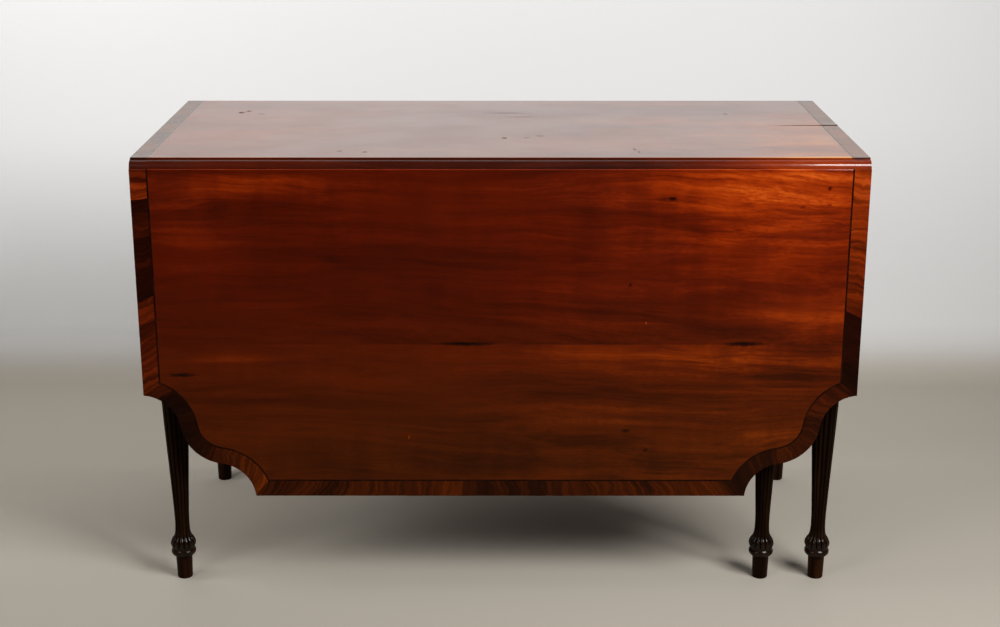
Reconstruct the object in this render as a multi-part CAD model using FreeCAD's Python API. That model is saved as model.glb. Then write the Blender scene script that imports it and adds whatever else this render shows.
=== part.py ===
import FreeCAD, Part
import math
import os

from FreeCAD import Vector

# Table as a whole, in millimetres: origin on the floor under the middle of the top,
# length along X, front leaf on the -Y side
TABLE_HEIGHT = 730.0
TOP_LENGTH = 1146.0
TOP_WIDTH = 508.0
BOARD_THICKNESS = 17.5
LEAF_REACH = 545.0

# Rule joint: a fillet and a quarter round on the top, a matching cove on the leaf
RULE_FILLET = 3.0
RULE_RADIUS = 12.0
RULE_GAP = 0.4

# Shaped leaf corner: two coves that run into one round lobe
COVE_RADIUS = 62.0
COVE_OUTSET = 5.0
COVE_RISE = 112.0
LOBE_INSET = 130.0

# Cross-banding let into the show faces
BAND_WIDTH = 26.0
INLAY_DEPTH = 1.5

# Leg axes, in from the short ends and the long edges of the fixed top; the swing leg stands
# beside the right-hand front leg; a square post heads each leg
LEG_END_INSET = 39.0
LEG_SIDE_INSET = 40.0
SWING_LEG_OFFSET = 94.0
POST_SIZE = 50.0
POST_DROP = 4.5

# Turned foot of a leg, from the floor up: heights, then diameters
FOOT_HEIGHT = 36.0
COLLAR_HEIGHT = 48.0
GROOVE_HEIGHT = 54.0
BULB_HEIGHT = 63.0
THROAT_HEIGHT = 78.0
ANKLE_HEIGHT = 104.0
FOOT_DIAMETER = 25.0
FOOT_TOP_DIAMETER = 27.0
COLLAR_DIAMETER = 40.5
GROOVE_DIAMETER = 37.0
BULB_DIAMETER = 41.0
THROAT_DIAMETER = 30.5
ANKLE_DIAMETER = 24.0

# Reeded shaft and the turned capital between shaft and post
SWELL_DIAMETER = 49.0
REED_COUNT = 14
REED_DEPTH_SHARE = 0.11
SHAFT_SHARES = ((0.46, 0.74), (0.68, 1.0), (1.0, 0.84))
CAPITAL_HEIGHT = 40.0
CAPITAL_NECK_DIAMETER = 38.0
CAPITAL_RING_DIAMETER = 47.0
CAPITAL_RING_HEIGHT = 9.0
CAPITAL_FILLET_HEIGHT = 6.0

# Rails of the underframe
RAIL_HEIGHT = 118.0
END_APRON_THICKNESS = 20.0
END_APRON_SETBACK = 4.0
INNER_RAIL_THICKNESS = 20.0
OUTER_RAIL_THICKNESS = 24.0
TENON_THICKNESS = 8.0
TENON_LENGTH = 25.0
TENON_SHOULDER = 15.0
JOINERY_GAP = 0.1

# Wooden knuckle joint between the fixed outer rail and the fly rail
KNUCKLE_X = 40.0
KNUCKLE_LEVELS = 3
KNUCKLE_GAP = 0.3
KNUCKLE_PIN_DIAMETER = 8.0
PIN_FIT = 0.05
FLY_CLEARANCE = 0.6
SWING_HEADROOM = 1.0

# Cross braces dovetailed into the inner rails, and corner glue blocks
BRACE_X = 190.0
BRACE_WIDTH = 60.0
BRACE_THICKNESS = 20.0
DOVETAIL_LENGTH = 14.0
DOVETAIL_NECK = 34.0
DOVETAIL_TAIL = 46.0
BLOCK_SIDE = 44.0
BLOCK_HEIGHT = 70.0

# Iron table hinges
HINGE_END_INSET = 193.0
HINGE_COUNT = 2
HINGE_WIDTH = 38.0
PLATE_THICKNESS = 2.0
TOP_PLATE_LENGTH = 32.0
LEAF_PLATE_LENGTH = 62.0
PLATE_GAP = 0.2
BARREL_DIAMETER = 6.4
BARREL_GAP = 0.4
BARREL_KNUCKLES = 3
HINGE_PIN_DIAMETER = 3.0

# How far a cutting tool runs past the face that it cuts
OVERRUN = 5.0

# Planes and axes that the pieces share
UNDERSIDE_Z = TABLE_HEIGHT - BOARD_THICKNESS
RAIL_Z = (UNDERSIDE_Z - RAIL_HEIGHT, UNDERSIDE_Z)
POST_BOTTOM_Z = RAIL_Z[0] - POST_DROP
HINGE_Y = TOP_WIDTH / 2
HINGE_Z = TABLE_HEIGHT - RULE_FILLET - RULE_RADIUS
HALF_LENGTH = TOP_LENGTH / 2
LEAF_EDGE_Y = -HINGE_Y - LEAF_REACH
LEG_X = HALF_LENGTH - LEG_END_INSET
LEG_Y = HINGE_Y - LEG_SIDE_INSET
SWING_LEG_X = LEG_X - SWING_LEG_OFFSET
POST_INNER_X = LEG_X - POST_SIZE / 2
POST_INNER_Y = LEG_Y - POST_SIZE / 2
INNER_RAIL_Y = (-POST_INNER_Y - INNER_RAIL_THICKNESS, -POST_INNER_Y)
OUTER_RAIL_Y = (INNER_RAIL_Y[0] - OUTER_RAIL_THICKNESS, INNER_RAIL_Y[0])
KNUCKLE_Y = (OUTER_RAIL_Y[0] + OUTER_RAIL_Y[1]) / 2
KNUCKLE_RADIUS = OUTER_RAIL_THICKNESS / 2 - FLY_CLEARANCE
FLY_TOP_Z = UNDERSIDE_Z - SWING_HEADROOM
HINGE_SPAN = TOP_LENGTH - 2 * HINGE_END_INSET
HINGE_PLACES = [(i / (HINGE_COUNT - 1) - 1 / 2) * HINGE_SPAN for i in range(HINGE_COUNT)]


def block(x, y, z):
    """Box from three (low, high) pairs."""
    return Part.makeBox(x[1] - x[0], y[1] - y[0], z[1] - z[0], Vector(x[0], y[0], z[0]))


def upright_rod(diameter, x, y, z):
    return Part.makeCylinder(diameter / 2, z[1] - z[0], Vector(x, y, z[0]))


def lengthwise_rod(diameter, y, z, x):
    return Part.makeCylinder(diameter / 2, x[1] - x[0], Vector(x[0], y, z), Vector(1, 0, 0))


def flat_face(points):
    return Part.Face(Part.makePolygon(points + points[:1]))


def plan_prism(points, z):
    """Upright prism on a plan outline of (x, y) points."""
    return flat_face([Vector(x, y, z[0]) for x, y in points]).extrude(Vector(0, 0, z[1] - z[0]))


def half_turn(shape):
    """The same piece on the far side of the table."""
    turned = shape.copy()
    turned.rotate(Vector(), Vector(0, 0, 1), 180)
    return turned


def moved(shape, x, y):
    shifted = shape.copy()
    shifted.translate(Vector(x, y, 0))
    return shifted


def hung(shape):
    """A front leaf's piece, made level with the top, turned down about the hinge axis."""
    lowered = shape.copy()
    lowered.rotate(Vector(0, -HINGE_Y, HINGE_Z), Vector(1, 0, 0), 90)
    return lowered


# Rule-jointed boards

def lengthwise_profile(edges):
    """Board section in the YZ plane, drawn at the left end and run to the right end."""
    return Part.Face(Part.Wire(edges)).extrude(Vector(TOP_LENGTH, 0, 0))


def section_point(y, z):
    return Vector(-HALF_LENGTH, y, z)


def round_point(radius, angle, side):
    """Point on a circle about the hinge axis on one side; 0 is outwards, 90 is up."""
    out = HINGE_Y + radius * math.cos(math.radians(angle))
    return section_point(side * out, HINGE_Z + radius * math.sin(math.radians(angle)))


def underside_angle(radius):
    return math.degrees(math.asin((UNDERSIDE_Z - HINGE_Z) / radius))


def fixed_top():
    low = underside_angle(RULE_RADIUS)
    fillet_top = [section_point(side * HINGE_Y, TABLE_HEIGHT) for side in (-1, 1)]
    fillet_foot = [round_point(RULE_RADIUS, 90, side) for side in (-1, 1)]
    round_middle = [round_point(RULE_RADIUS, 45, side) for side in (-1, 1)]
    round_foot = [round_point(RULE_RADIUS, low, side) for side in (-1, 1)]
    board = lengthwise_profile([
        Part.makeLine(fillet_top[0], fillet_foot[0]),
        Part.Arc(fillet_foot[0], round_middle[0], round_foot[0]).toShape(),
        Part.makeLine(round_foot[0], round_foot[1]),
        Part.Arc(round_foot[1], round_middle[1], fillet_foot[1]).toShape(),
        Part.makeLine(fillet_foot[1], fillet_top[1]),
        Part.makeLine(fillet_top[1], fillet_top[0]),
    ])
    rebate = (HALF_LENGTH - BAND_WIDTH, HALF_LENGTH + OVERRUN)
    rebate_tool = block(rebate, (-HINGE_Y - OVERRUN, HINGE_Y + OVERRUN),
                        (TABLE_HEIGHT - INLAY_DEPTH, TABLE_HEIGHT + OVERRUN))
    tools = [rebate_tool, half_turn(rebate_tool)]
    for x in HINGE_PLACES:
        recess = hinge_recess(x)
        tools += [recess, half_turn(recess)]
    return board.cut(tools).removeSplitter()


def top_crossbands():
    """One band across each short end of the fixed top."""
    band = block((HALF_LENGTH - BAND_WIDTH, HALF_LENGTH), (-HINGE_Y, HINGE_Y),
                 (TABLE_HEIGHT - INLAY_DEPTH, TABLE_HEIGHT))
    return Part.makeCompound([half_turn(band), band])


# Leaf outline in plan: u runs in from the short edge, v in from the long free edge

def leaf_point(u, v, side):
    return Vector(side * (HALF_LENGTH - u), LEAF_EDGE_Y + v, 0)


def around(centre, radius, angle):
    return (centre[0] + radius * math.cos(angle), centre[1] + radius * math.sin(angle))


def corner_arcs(inset):
    """Cove, lobe and cove of one corner, each as its start, middle and end in (u, v)."""
    cove_centre = (-COVE_OUTSET, COVE_RISE)
    lobe_centre = (LOBE_INSET, LOBE_INSET)
    across = lobe_centre[0] - cove_centre[0]
    along = lobe_centre[1] - cove_centre[1]
    cove_radius = COVE_RADIUS + inset
    lobe_radius = math.hypot(across, along) - cove_radius
    shoulder = math.acos((inset + COVE_OUTSET) / cove_radius)
    turn = math.atan2(along, across)
    cove = [around(cove_centre, cove_radius, angle) for angle in (shoulder, (shoulder + turn) / 2, turn)]
    far_cove = [(v, u) for u, v in reversed(cove)]
    crown = around(lobe_centre, lobe_radius, math.radians(225))
    return [cove, [cove[2], crown, far_cove[0]], far_cove]


def corner_edges(inset, side):
    return [Part.Arc(*[leaf_point(u, v, side) for u, v in arc]).toShape() for arc in corner_arcs(inset)]


def shoulder(inset):
    """Distance in from the free edge at which the corner starts on the short edge."""
    return corner_arcs(inset)[0][0][1]


def joined_face(edges):
    return Part.Face(Part.Wire(Part.__sortEdges__(edges)))


def leaf_plan(inset, hinge_edge):
    """Whole leaf outline, drawn in by an inset on its three free edges."""
    edges = corner_edges(inset, -1) + corner_edges(inset, 1)
    start = [leaf_point(inset, hinge_edge, side) for side in (-1, 1)]
    for side, corner in zip((-1, 1), start):
        edges.append(Part.makeLine(corner, leaf_point(inset, shoulder(inset), side)))
    edges.append(Part.makeLine(*start))
    edges.append(Part.makeLine(leaf_point(shoulder(inset), inset, -1), leaf_point(shoulder(inset), inset, 1)))
    return joined_face(edges)


def raised(face, z):
    """Upright solid on a plan face, between two heights."""
    solid = face.extrude(Vector(0, 0, z[1] - z[0]))
    solid.translate(Vector(0, 0, z[0]))
    return solid


def leaf_board():
    cove_radius = RULE_RADIUS + RULE_GAP
    low = underside_angle(cove_radius)
    lip_angle = math.degrees(math.acos(RULE_GAP / cove_radius))
    lip_foot = round_point(cove_radius, lip_angle, -1)
    lip_top = section_point(-HINGE_Y - RULE_GAP, TABLE_HEIGHT)
    edge_top = section_point(LEAF_EDGE_Y, TABLE_HEIGHT)
    edge_foot = section_point(LEAF_EDGE_Y, UNDERSIDE_Z)
    cove_foot = round_point(cove_radius, low, -1)
    board = lengthwise_profile([
        Part.makeLine(lip_top, edge_top),
        Part.makeLine(edge_top, edge_foot),
        Part.makeLine(edge_foot, cove_foot),
        Part.Arc(cove_foot, round_point(cove_radius, 45, -1), lip_foot).toShape(),
        Part.makeLine(lip_foot, lip_top),
    ])
    past_hinge = LEAF_REACH + OVERRUN
    board = board.common(raised(leaf_plan(0, past_hinge), (UNDERSIDE_Z - OVERRUN, TABLE_HEIGHT + OVERRUN)))
    rebate_z = (TABLE_HEIGHT - INLAY_DEPTH, TABLE_HEIGHT + OVERRUN)
    field = raised(leaf_plan(BAND_WIDTH, past_hinge + OVERRUN), rebate_z)
    surround = block((-HALF_LENGTH - OVERRUN, HALF_LENGTH + OVERRUN),
                     (LEAF_EDGE_Y - OVERRUN, -HINGE_Y), rebate_z).cut(field)
    mortises = [leaf_plate_bed(x, PLATE_GAP) for x in HINGE_PLACES]
    return board.cut([surround] + mortises)


def leaf_crossbands():
    """Bands round the three free edges of a leaf, mitred where the shaped corners start."""
    hinge_edge = LEAF_REACH - RULE_GAP
    z = (TABLE_HEIGHT - INLAY_DEPTH, TABLE_HEIGHT)
    outer = shoulder(0)
    inner = shoulder(BAND_WIDTH)
    bands = []
    for side in (-1, 1):
        ends = [(0, hinge_edge), (0, outer), (BAND_WIDTH, inner), (BAND_WIDTH, hinge_edge)]
        corners = [leaf_point(u, v, side) for u, v in ends]
        bands.append(raised(flat_face(corners), z))
        edges = corner_edges(0, side) + corner_edges(BAND_WIDTH, side)
        edges.append(Part.makeLine(corners[1], corners[2]))
        edges.append(Part.makeLine(leaf_point(outer, 0, side), leaf_point(inner, BAND_WIDTH, side)))
        bands.append(raised(joined_face(edges), z))
    ends = [(outer, 0, -1), (outer, 0, 1), (inner, BAND_WIDTH, 1), (inner, BAND_WIDTH, -1)]
    corners = [leaf_point(*end) for end in ends]
    bands.append(raised(flat_face(corners), z))
    return Part.makeCompound([hung(band) for band in bands])


# Iron hinges, modelled with the leaf raised

def knuckle_span(x, index, gap):
    pitch = HINGE_WIDTH / BARREL_KNUCKLES
    start = x - HINGE_WIDTH / 2 + index * pitch
    return (start + gap, start + pitch - gap)


def barrel(x, diameter):
    return lengthwise_rod(diameter, -HINGE_Y, HINGE_Z, x)


def plate_z():
    return (UNDERSIDE_Z, UNDERSIDE_Z + PLATE_THICKNESS)


def hinge_plate(x, inner_y, outer_y, own_remainder):
    """Flat plate with its share of the barrel's knuckles, bored for the pin."""
    plate = block((x - HINGE_WIDTH / 2, x + HINGE_WIDTH / 2), (outer_y, inner_y), plate_z())
    reach = BARREL_DIAMETER / 2 + BARREL_GAP
    for index in range(BARREL_KNUCKLES):
        if index % 2 == own_remainder:
            plate = plate.fuse(barrel(knuckle_span(x, index, BARREL_GAP / 2), BARREL_DIAMETER))
        else:
            room = knuckle_span(x, index, -BARREL_GAP / 2)
            plate = plate.cut(block(room, (-HINGE_Y - reach, -HINGE_Y + reach),
                                    (UNDERSIDE_Z - OVERRUN, HINGE_Z + OVERRUN)))
    bore_span = (x - HINGE_WIDTH / 2 - OVERRUN, x + HINGE_WIDTH / 2 + OVERRUN)
    return plate.cut(barrel(bore_span, HINGE_PIN_DIAMETER + 2 * PIN_FIT)).removeSplitter()


def top_plate(x):
    return hinge_plate(x, -HINGE_Y + TOP_PLATE_LENGTH, -HINGE_Y, 0)


def leaf_plate(x):
    return hinge_plate(x, -HINGE_Y, -HINGE_Y - LEAF_PLATE_LENGTH, 1)


def hinge_pin(x):
    return barrel((x - HINGE_WIDTH / 2, x + HINGE_WIDTH / 2), HINGE_PIN_DIAMETER)


def hinge_recess(x):
    """Bed of the top plate, and the groove in the quarter round that the barrel turns in."""
    width = (x - HINGE_WIDTH / 2 - PLATE_GAP, x + HINGE_WIDTH / 2 + PLATE_GAP)
    room = BARREL_DIAMETER / 2 + BARREL_GAP
    bed = block(width, (-HINGE_Y, -HINGE_Y + TOP_PLATE_LENGTH + PLATE_GAP),
                (UNDERSIDE_Z - OVERRUN, UNDERSIDE_Z + PLATE_THICKNESS))
    notch = block(width, (-HINGE_Y - RULE_RADIUS - OVERRUN, -HINGE_Y + room),
                  (UNDERSIDE_Z - OVERRUN, HINGE_Z))
    groove = barrel(width, 2 * room)
    return bed.fuse([notch, groove])


def leaf_plate_bed(x, gap):
    return block((x - HINGE_WIDTH / 2 - gap, x + HINGE_WIDTH / 2 + gap),
                 (-HINGE_Y - LEAF_PLATE_LENGTH - gap, -HINGE_Y),
                 (UNDERSIDE_Z - OVERRUN, UNDERSIDE_Z + PLATE_THICKNESS))


# Turned legs, lobed at the bulb and reeded up the shaft

def leg_stations():
    """Diameter, height and groove depth share at each station, from the floor to the post."""
    shaft_top = POST_BOTTOM_Z - CAPITAL_HEIGHT
    shaft_length = shaft_top - ANKLE_HEIGHT
    growth = SWELL_DIAMETER - ANKLE_DIAMETER
    foot = [(FOOT_DIAMETER, 0, 0), (FOOT_TOP_DIAMETER, FOOT_HEIGHT, 0),
            (COLLAR_DIAMETER, COLLAR_HEIGHT, 0), (GROOVE_DIAMETER, GROOVE_HEIGHT, 0)]
    bulb = [(BULB_DIAMETER, BULB_HEIGHT, REED_DEPTH_SHARE), (THROAT_DIAMETER, THROAT_HEIGHT, REED_DEPTH_SHARE),
            (ANKLE_DIAMETER, ANKLE_HEIGHT, REED_DEPTH_SHARE)]
    shaft = [(ANKLE_DIAMETER + growth * growth_share, ANKLE_HEIGHT + shaft_length * height_share, REED_DEPTH_SHARE)
             for height_share, growth_share in SHAFT_SHARES]
    capital = [(CAPITAL_NECK_DIAMETER, shaft_top + CAPITAL_FILLET_HEIGHT, 0),
               (CAPITAL_NECK_DIAMETER, POST_BOTTOM_Z - 2 * CAPITAL_RING_HEIGHT, 0),
               (CAPITAL_RING_DIAMETER, POST_BOTTOM_Z - CAPITAL_RING_HEIGHT, 0),
               (CAPITAL_RING_DIAMETER, POST_BOTTOM_Z, 0)]
    return foot + bulb + shaft + capital


def leg_ring(diameter, z, depth_share):
    """Points round the leg: grooves and reed crests in turn."""
    points = []
    for k in range(2 * REED_COUNT):
        radius = diameter / 2 * (1 if k % 2 else 1 - depth_share)
        points.append(Vector(*around((0, 0), radius, k * math.pi / REED_COUNT), z))
    return points


def turned_part():
    """Everything below the post, as one closed skin of flat facets."""
    rings = [leg_ring(*station) for station in leg_stations()]
    faces = [flat_face(rings[0]), flat_face(rings[-1])]
    for lower, upper in zip(rings, rings[1:]):
        for k in range(2 * REED_COUNT):
            faces.append(flat_face([lower[k - 1], lower[k], upper[k]]))
            faces.append(flat_face([lower[k - 1], upper[k], upper[k - 1]]))
    return Part.Solid(Part.Shell(faces))


def plain_leg(top_z):
    """Leg on the Z axis, before its mortises are cut."""
    half = (-POST_SIZE / 2, POST_SIZE / 2)
    return turned_part().fuse(block(half, half, (POST_BOTTOM_Z, top_z)))


# Rails, tenoned into the posts

def tenon_z():
    return (RAIL_Z[0] + TENON_SHOULDER, RAIL_Z[1] - TENON_SHOULDER)


def centred(middle, size):
    return (middle - size / 2, middle + size / 2)


def grown(span, gap):
    return (span[0] - gap, span[1] + gap)


def tenon_x(face_x, y_span, gap):
    """Tenon that runs to +X from a post's face, or its mortise when given a gap."""
    middle = (y_span[0] + y_span[1]) / 2
    return block((face_x, face_x + TENON_LENGTH + gap), grown(centred(middle, TENON_THICKNESS), gap),
                 grown(tenon_z(), gap))


def end_apron_x():
    outer = LEG_X + POST_SIZE / 2 - END_APRON_SETBACK
    return (outer - END_APRON_THICKNESS, outer)


def end_tenon(gap):
    """Tenon of the right-hand end apron that runs to -Y, or its mortise."""
    middle = sum(end_apron_x()) / 2
    return block(grown(centred(middle, TENON_THICKNESS), gap),
                 (-POST_INNER_Y - TENON_LENGTH - gap, -POST_INNER_Y), grown(tenon_z(), gap))


def end_apron():
    board = block(end_apron_x(), (-POST_INNER_Y, POST_INNER_Y), RAIL_Z)
    far_tenon = end_tenon(0).mirror(Vector(), Vector(0, 1, 0))
    return board.fuse([end_tenon(0), far_tenon]).removeSplitter()


def mirrored_x(shape):
    return shape.mirror(Vector(), Vector(1, 0, 0))


def inner_rail():
    board = block((-POST_INNER_X, POST_INNER_X), INNER_RAIL_Y, RAIL_Z)
    tenon = tenon_x(POST_INNER_X, INNER_RAIL_Y, 0)
    board = board.fuse([tenon, mirrored_x(tenon)]).removeSplitter()
    return board.cut([brace_socket(side * BRACE_X) for side in (-1, 1)])


def fixed_leg_right():
    """Front right leg, with mortises for the end apron and the inner rail."""
    leg = moved(plain_leg(UNDERSIDE_Z), LEG_X, -LEG_Y)
    return leg.cut([end_tenon(JOINERY_GAP), tenon_x(POST_INNER_X, INNER_RAIL_Y, JOINERY_GAP)])


def fixed_leg_left():
    """Front left leg, which also takes the fixed outer rail."""
    leg = moved(plain_leg(UNDERSIDE_Z), -LEG_X, -LEG_Y)
    mortises = [end_tenon(JOINERY_GAP), tenon_x(POST_INNER_X, INNER_RAIL_Y, JOINERY_GAP),
                tenon_x(POST_INNER_X, OUTER_RAIL_Y, JOINERY_GAP)]
    return leg.cut([mirrored_x(mortise) for mortise in mortises])


# Knuckle joint: s runs away from the pin along a rail, t runs outwards

def knuckle_level(index, gap):
    height = RAIL_HEIGHT / KNUCKLE_LEVELS
    return (RAIL_Z[0] + index * height + gap, RAIL_Z[0] + (index + 1) * height - gap)


def knuckle_rod(diameter, z):
    return upright_rod(diameter, KNUCKLE_X, KNUCKLE_Y, z)


def knuckled_rail(far_s, direction, half_thickness, z, own_remainder, finger_gap):
    """Rail whose end is bevelled for a quarter turn and carries alternate round fingers."""
    outline = [(far_s, -half_thickness), (KNUCKLE_GAP, -half_thickness), (KNUCKLE_GAP, 0),
               (half_thickness + KNUCKLE_GAP, half_thickness), (far_s, half_thickness)]
    rail = plan_prism([(KNUCKLE_X + direction * s, KNUCKLE_Y - t) for s, t in outline], z)
    for index in range(KNUCKLE_LEVELS):
        if index % 2 == own_remainder:
            rail = rail.fuse(knuckle_rod(2 * KNUCKLE_RADIUS, knuckle_level(index, finger_gap)))
        else:
            room = knuckle_level(index, finger_gap - KNUCKLE_GAP)
            rail = rail.cut(knuckle_rod(2 * (KNUCKLE_RADIUS + FLY_CLEARANCE / 2), room))
    bore = knuckle_rod(KNUCKLE_PIN_DIAMETER + 2 * PIN_FIT, grown(RAIL_Z, OVERRUN))
    return rail.cut(bore).removeSplitter()


def fixed_outer_rail():
    rail = knuckled_rail(KNUCKLE_X + POST_INNER_X, -1, OUTER_RAIL_THICKNESS / 2, RAIL_Z, 0, 0)
    tenon = mirrored_x(tenon_x(POST_INNER_X, OUTER_RAIL_Y, 0))
    return rail.fuse(tenon).removeSplitter()


def swing_post_x():
    return SWING_LEG_X - POST_SIZE / 2


def fly_rail():
    far_s = swing_post_x() - KNUCKLE_X
    rail = knuckled_rail(far_s, 1, KNUCKLE_RADIUS, (RAIL_Z[0], FLY_TOP_Z), 1, KNUCKLE_GAP)
    return rail.fuse(tenon_x(swing_post_x(), OUTER_RAIL_Y, 0)).removeSplitter()


def swing_leg():
    """Leg on the fly rail, its post notched at the back to close over the inner rail."""
    leg = moved(plain_leg(FLY_TOP_Z), SWING_LEG_X, -LEG_Y)
    notch = block(grown(centred(SWING_LEG_X, POST_SIZE), OVERRUN),
                  (INNER_RAIL_Y[0] - FLY_CLEARANCE, -POST_INNER_Y + OVERRUN),
                  (RAIL_Z[0] - SWING_HEADROOM, UNDERSIDE_Z + OVERRUN))
    return leg.cut([notch, tenon_x(swing_post_x(), OUTER_RAIL_Y, JOINERY_GAP)])


def knuckle_pin():
    return knuckle_rod(KNUCKLE_PIN_DIAMETER, (RAIL_Z[0], FLY_TOP_Z))


# Braces and blocks inside the frame

def brace_z():
    return (UNDERSIDE_Z - BRACE_THICKNESS, UNDERSIDE_Z)


def cross_brace(x):
    shoulders = [(BRACE_WIDTH / 2, POST_INNER_Y), (DOVETAIL_NECK / 2, POST_INNER_Y),
                 (DOVETAIL_TAIL / 2, POST_INNER_Y + DOVETAIL_LENGTH)]
    quarter = [(x + half_width, y) for half_width, y in shoulders]
    far = [(2 * x - px, py) for px, py in reversed(quarter)]
    near = [(2 * x - px, -py) for px, py in quarter]
    right = [(px, -py) for px, py in reversed(quarter)]
    return plan_prism(quarter + far + near + right, brace_z())


def brace_socket(x):
    """Dovetailed opening in the front inner rail, open at the rail's top edge."""
    neck = DOVETAIL_NECK / 2 + JOINERY_GAP
    tail = DOVETAIL_TAIL / 2 + JOINERY_GAP
    back_y = -POST_INNER_Y - DOVETAIL_LENGTH - JOINERY_GAP
    mouth_y = -POST_INNER_Y + OVERRUN
    outline = [(x - neck, mouth_y), (x - tail, back_y), (x + tail, back_y), (x + neck, mouth_y)]
    return plan_prism(outline, (brace_z()[0], UNDERSIDE_Z + OVERRUN))


def glue_blocks():
    """Three-cornered blocks rubbed into the corners of the frame."""
    corner_x = end_apron_x()[0]
    middle = (RAIL_Z[0] + RAIL_Z[1]) / 2
    outline = [(corner_x, -POST_INNER_Y), (corner_x, BLOCK_SIDE - POST_INNER_Y),
               (corner_x - BLOCK_SIDE, -POST_INNER_Y)]
    right = plan_prism(outline, centred(middle, BLOCK_HEIGHT))
    left = mirrored_x(right)
    return Part.makeCompound([right, left, half_turn(right), half_turn(left)])


# Every piece by name; the rear of the table is the front turned half round

leg_right = fixed_leg_right()
leg_left = fixed_leg_left()
right_apron = end_apron()

pieces = {
    "top_board": fixed_top(),
    "top_crossbands": top_crossbands(),
    "leg_front_right": leg_right,
    "leg_front_left": leg_left,
    "leg_rear_left": half_turn(leg_right),
    "leg_rear_right": half_turn(leg_left),
    "end_apron_right": right_apron,
    "end_apron_left": half_turn(right_apron),
    "cross_brace_left": cross_brace(-BRACE_X),
    "cross_brace_right": cross_brace(BRACE_X),
    "glue_blocks": glue_blocks(),
}

front_pieces = {
    "inner_rail": inner_rail(),
    "knuckle_rail": fixed_outer_rail(),
    "knuckle_pin": knuckle_pin(),
    "fly_rail": fly_rail(),
    "swing_leg": swing_leg(),
    "leaf_board": hung(leaf_board()),
    "leaf_crossbands": leaf_crossbands(),
    "hinge_top_plates": Part.makeCompound([top_plate(x) for x in HINGE_PLACES]),
    "hinge_leaf_plates": Part.makeCompound([hung(leaf_plate(x)) for x in HINGE_PLACES]),
    "hinge_pins": Part.makeCompound([hinge_pin(x) for x in HINGE_PLACES]),
}

for name, shape in front_pieces.items():
    pieces[name + "_front"] = shape
    pieces[name + "_rear"] = half_turn(shape)

os.makedirs("parts", exist_ok=True)
for name, shape in pieces.items():
    shape.exportStep("parts/" + name + ".step")
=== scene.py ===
import math

import bmesh
import bpy
from mathutils import Matrix, Vector


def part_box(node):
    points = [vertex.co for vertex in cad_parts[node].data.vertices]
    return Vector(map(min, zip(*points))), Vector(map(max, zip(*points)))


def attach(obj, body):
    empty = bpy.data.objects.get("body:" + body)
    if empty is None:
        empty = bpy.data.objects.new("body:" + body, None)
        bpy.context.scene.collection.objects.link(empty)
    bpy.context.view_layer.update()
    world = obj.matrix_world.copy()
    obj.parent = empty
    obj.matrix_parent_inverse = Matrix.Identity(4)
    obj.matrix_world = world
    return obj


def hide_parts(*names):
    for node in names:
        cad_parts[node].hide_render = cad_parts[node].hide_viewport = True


# Drop-leaf table of polished mahogany on six reeded legs, with both leaves hanging. Everything is
# in metres; the front leaf faces -Y, and the rear is the front turned half round.
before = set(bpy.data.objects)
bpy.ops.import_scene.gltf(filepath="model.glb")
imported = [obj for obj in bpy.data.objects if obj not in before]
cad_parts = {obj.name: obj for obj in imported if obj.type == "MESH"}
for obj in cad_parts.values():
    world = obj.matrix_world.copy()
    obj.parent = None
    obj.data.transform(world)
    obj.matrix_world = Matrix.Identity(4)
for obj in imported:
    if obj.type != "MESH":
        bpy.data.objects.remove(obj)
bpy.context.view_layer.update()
scene = bpy.context.scene


# Legs: dark mahogany, turned with a peg foot, a ring and a lobed bulb, and reeded by hand up a
# shaft that swells and then draws in. A square post above the turning takes the rails' tenons;
# the two swing legs have theirs cut away at the back to close over the inner rail.
REED_COUNT = 14
POINTS_PER_REED = 10
REED_DEPTH_SHARE = 0.15
PROFILE_STEPS = 6
POST_BOTTOM = 0.590
POST_ARRIS = 0.0012
ARRIS_POINTS = 3
SWING_NOTCH = 0.0206
SEAM_DISTANCE = 1e-5
CREASE = math.radians(38)

# Height, diameter and reed depth share up the leg; a corner is where the chisel cut square in
LEG_STATIONS = (
    (0.0000, 0.0000, 0.0, "corner"),
    (0.0000, 0.0236, 0.0, "corner"),
    (0.0012, 0.0252, 0.0, "corner"),
    (0.0385, 0.0272, 0.0, "corner"),
    (0.0402, 0.0294, 0.0, "corner"),
    (0.0426, 0.0366, 0.0, "round"),
    (0.0465, 0.0406, 0.0, "round"),
    (0.0507, 0.0397, 0.0, "round"),
    (0.0530, 0.0362, 0.0, "corner"),
    (0.0546, 0.0368, 0.2, "corner"),
    (0.0585, 0.0406, 0.8, "round"),
    (0.0640, 0.0416, 1.1, "round"),
    (0.0695, 0.0378, 1.1, "round"),
    (0.0748, 0.0310, 1.0, "round"),
    (0.0800, 0.0268, 0.8, "round"),
    (0.0870, 0.0248, 0.7, "round"),
    (0.1020, 0.0238, 0.6, "round"),
    (0.1470, 0.0270, 0.8, "round"),
    (0.2170, 0.0340, 1.0, "round"),
    (0.3110, 0.0430, 1.0, "round"),
    (0.4070, 0.0490, 1.0, "round"),
    (0.5000, 0.0476, 1.0, "round"),
    (0.5440, 0.0456, 0.8, "round"),
    (0.5500, 0.0425, 0.3, "round"),
    (0.5520, 0.0384, 0.0, "corner"),
    (0.5710, 0.0380, 0.0, "corner"),
    (0.5740, 0.0410, 0.0, "corner"),
    (0.5800, 0.0462, 0.0, "round"),
    (0.5850, 0.0470, 0.0, "round"),
    (0.5900, 0.0440, 0.0, "corner"),
    (0.5900, 0.0000, 0.0, "corner"),
)


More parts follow.
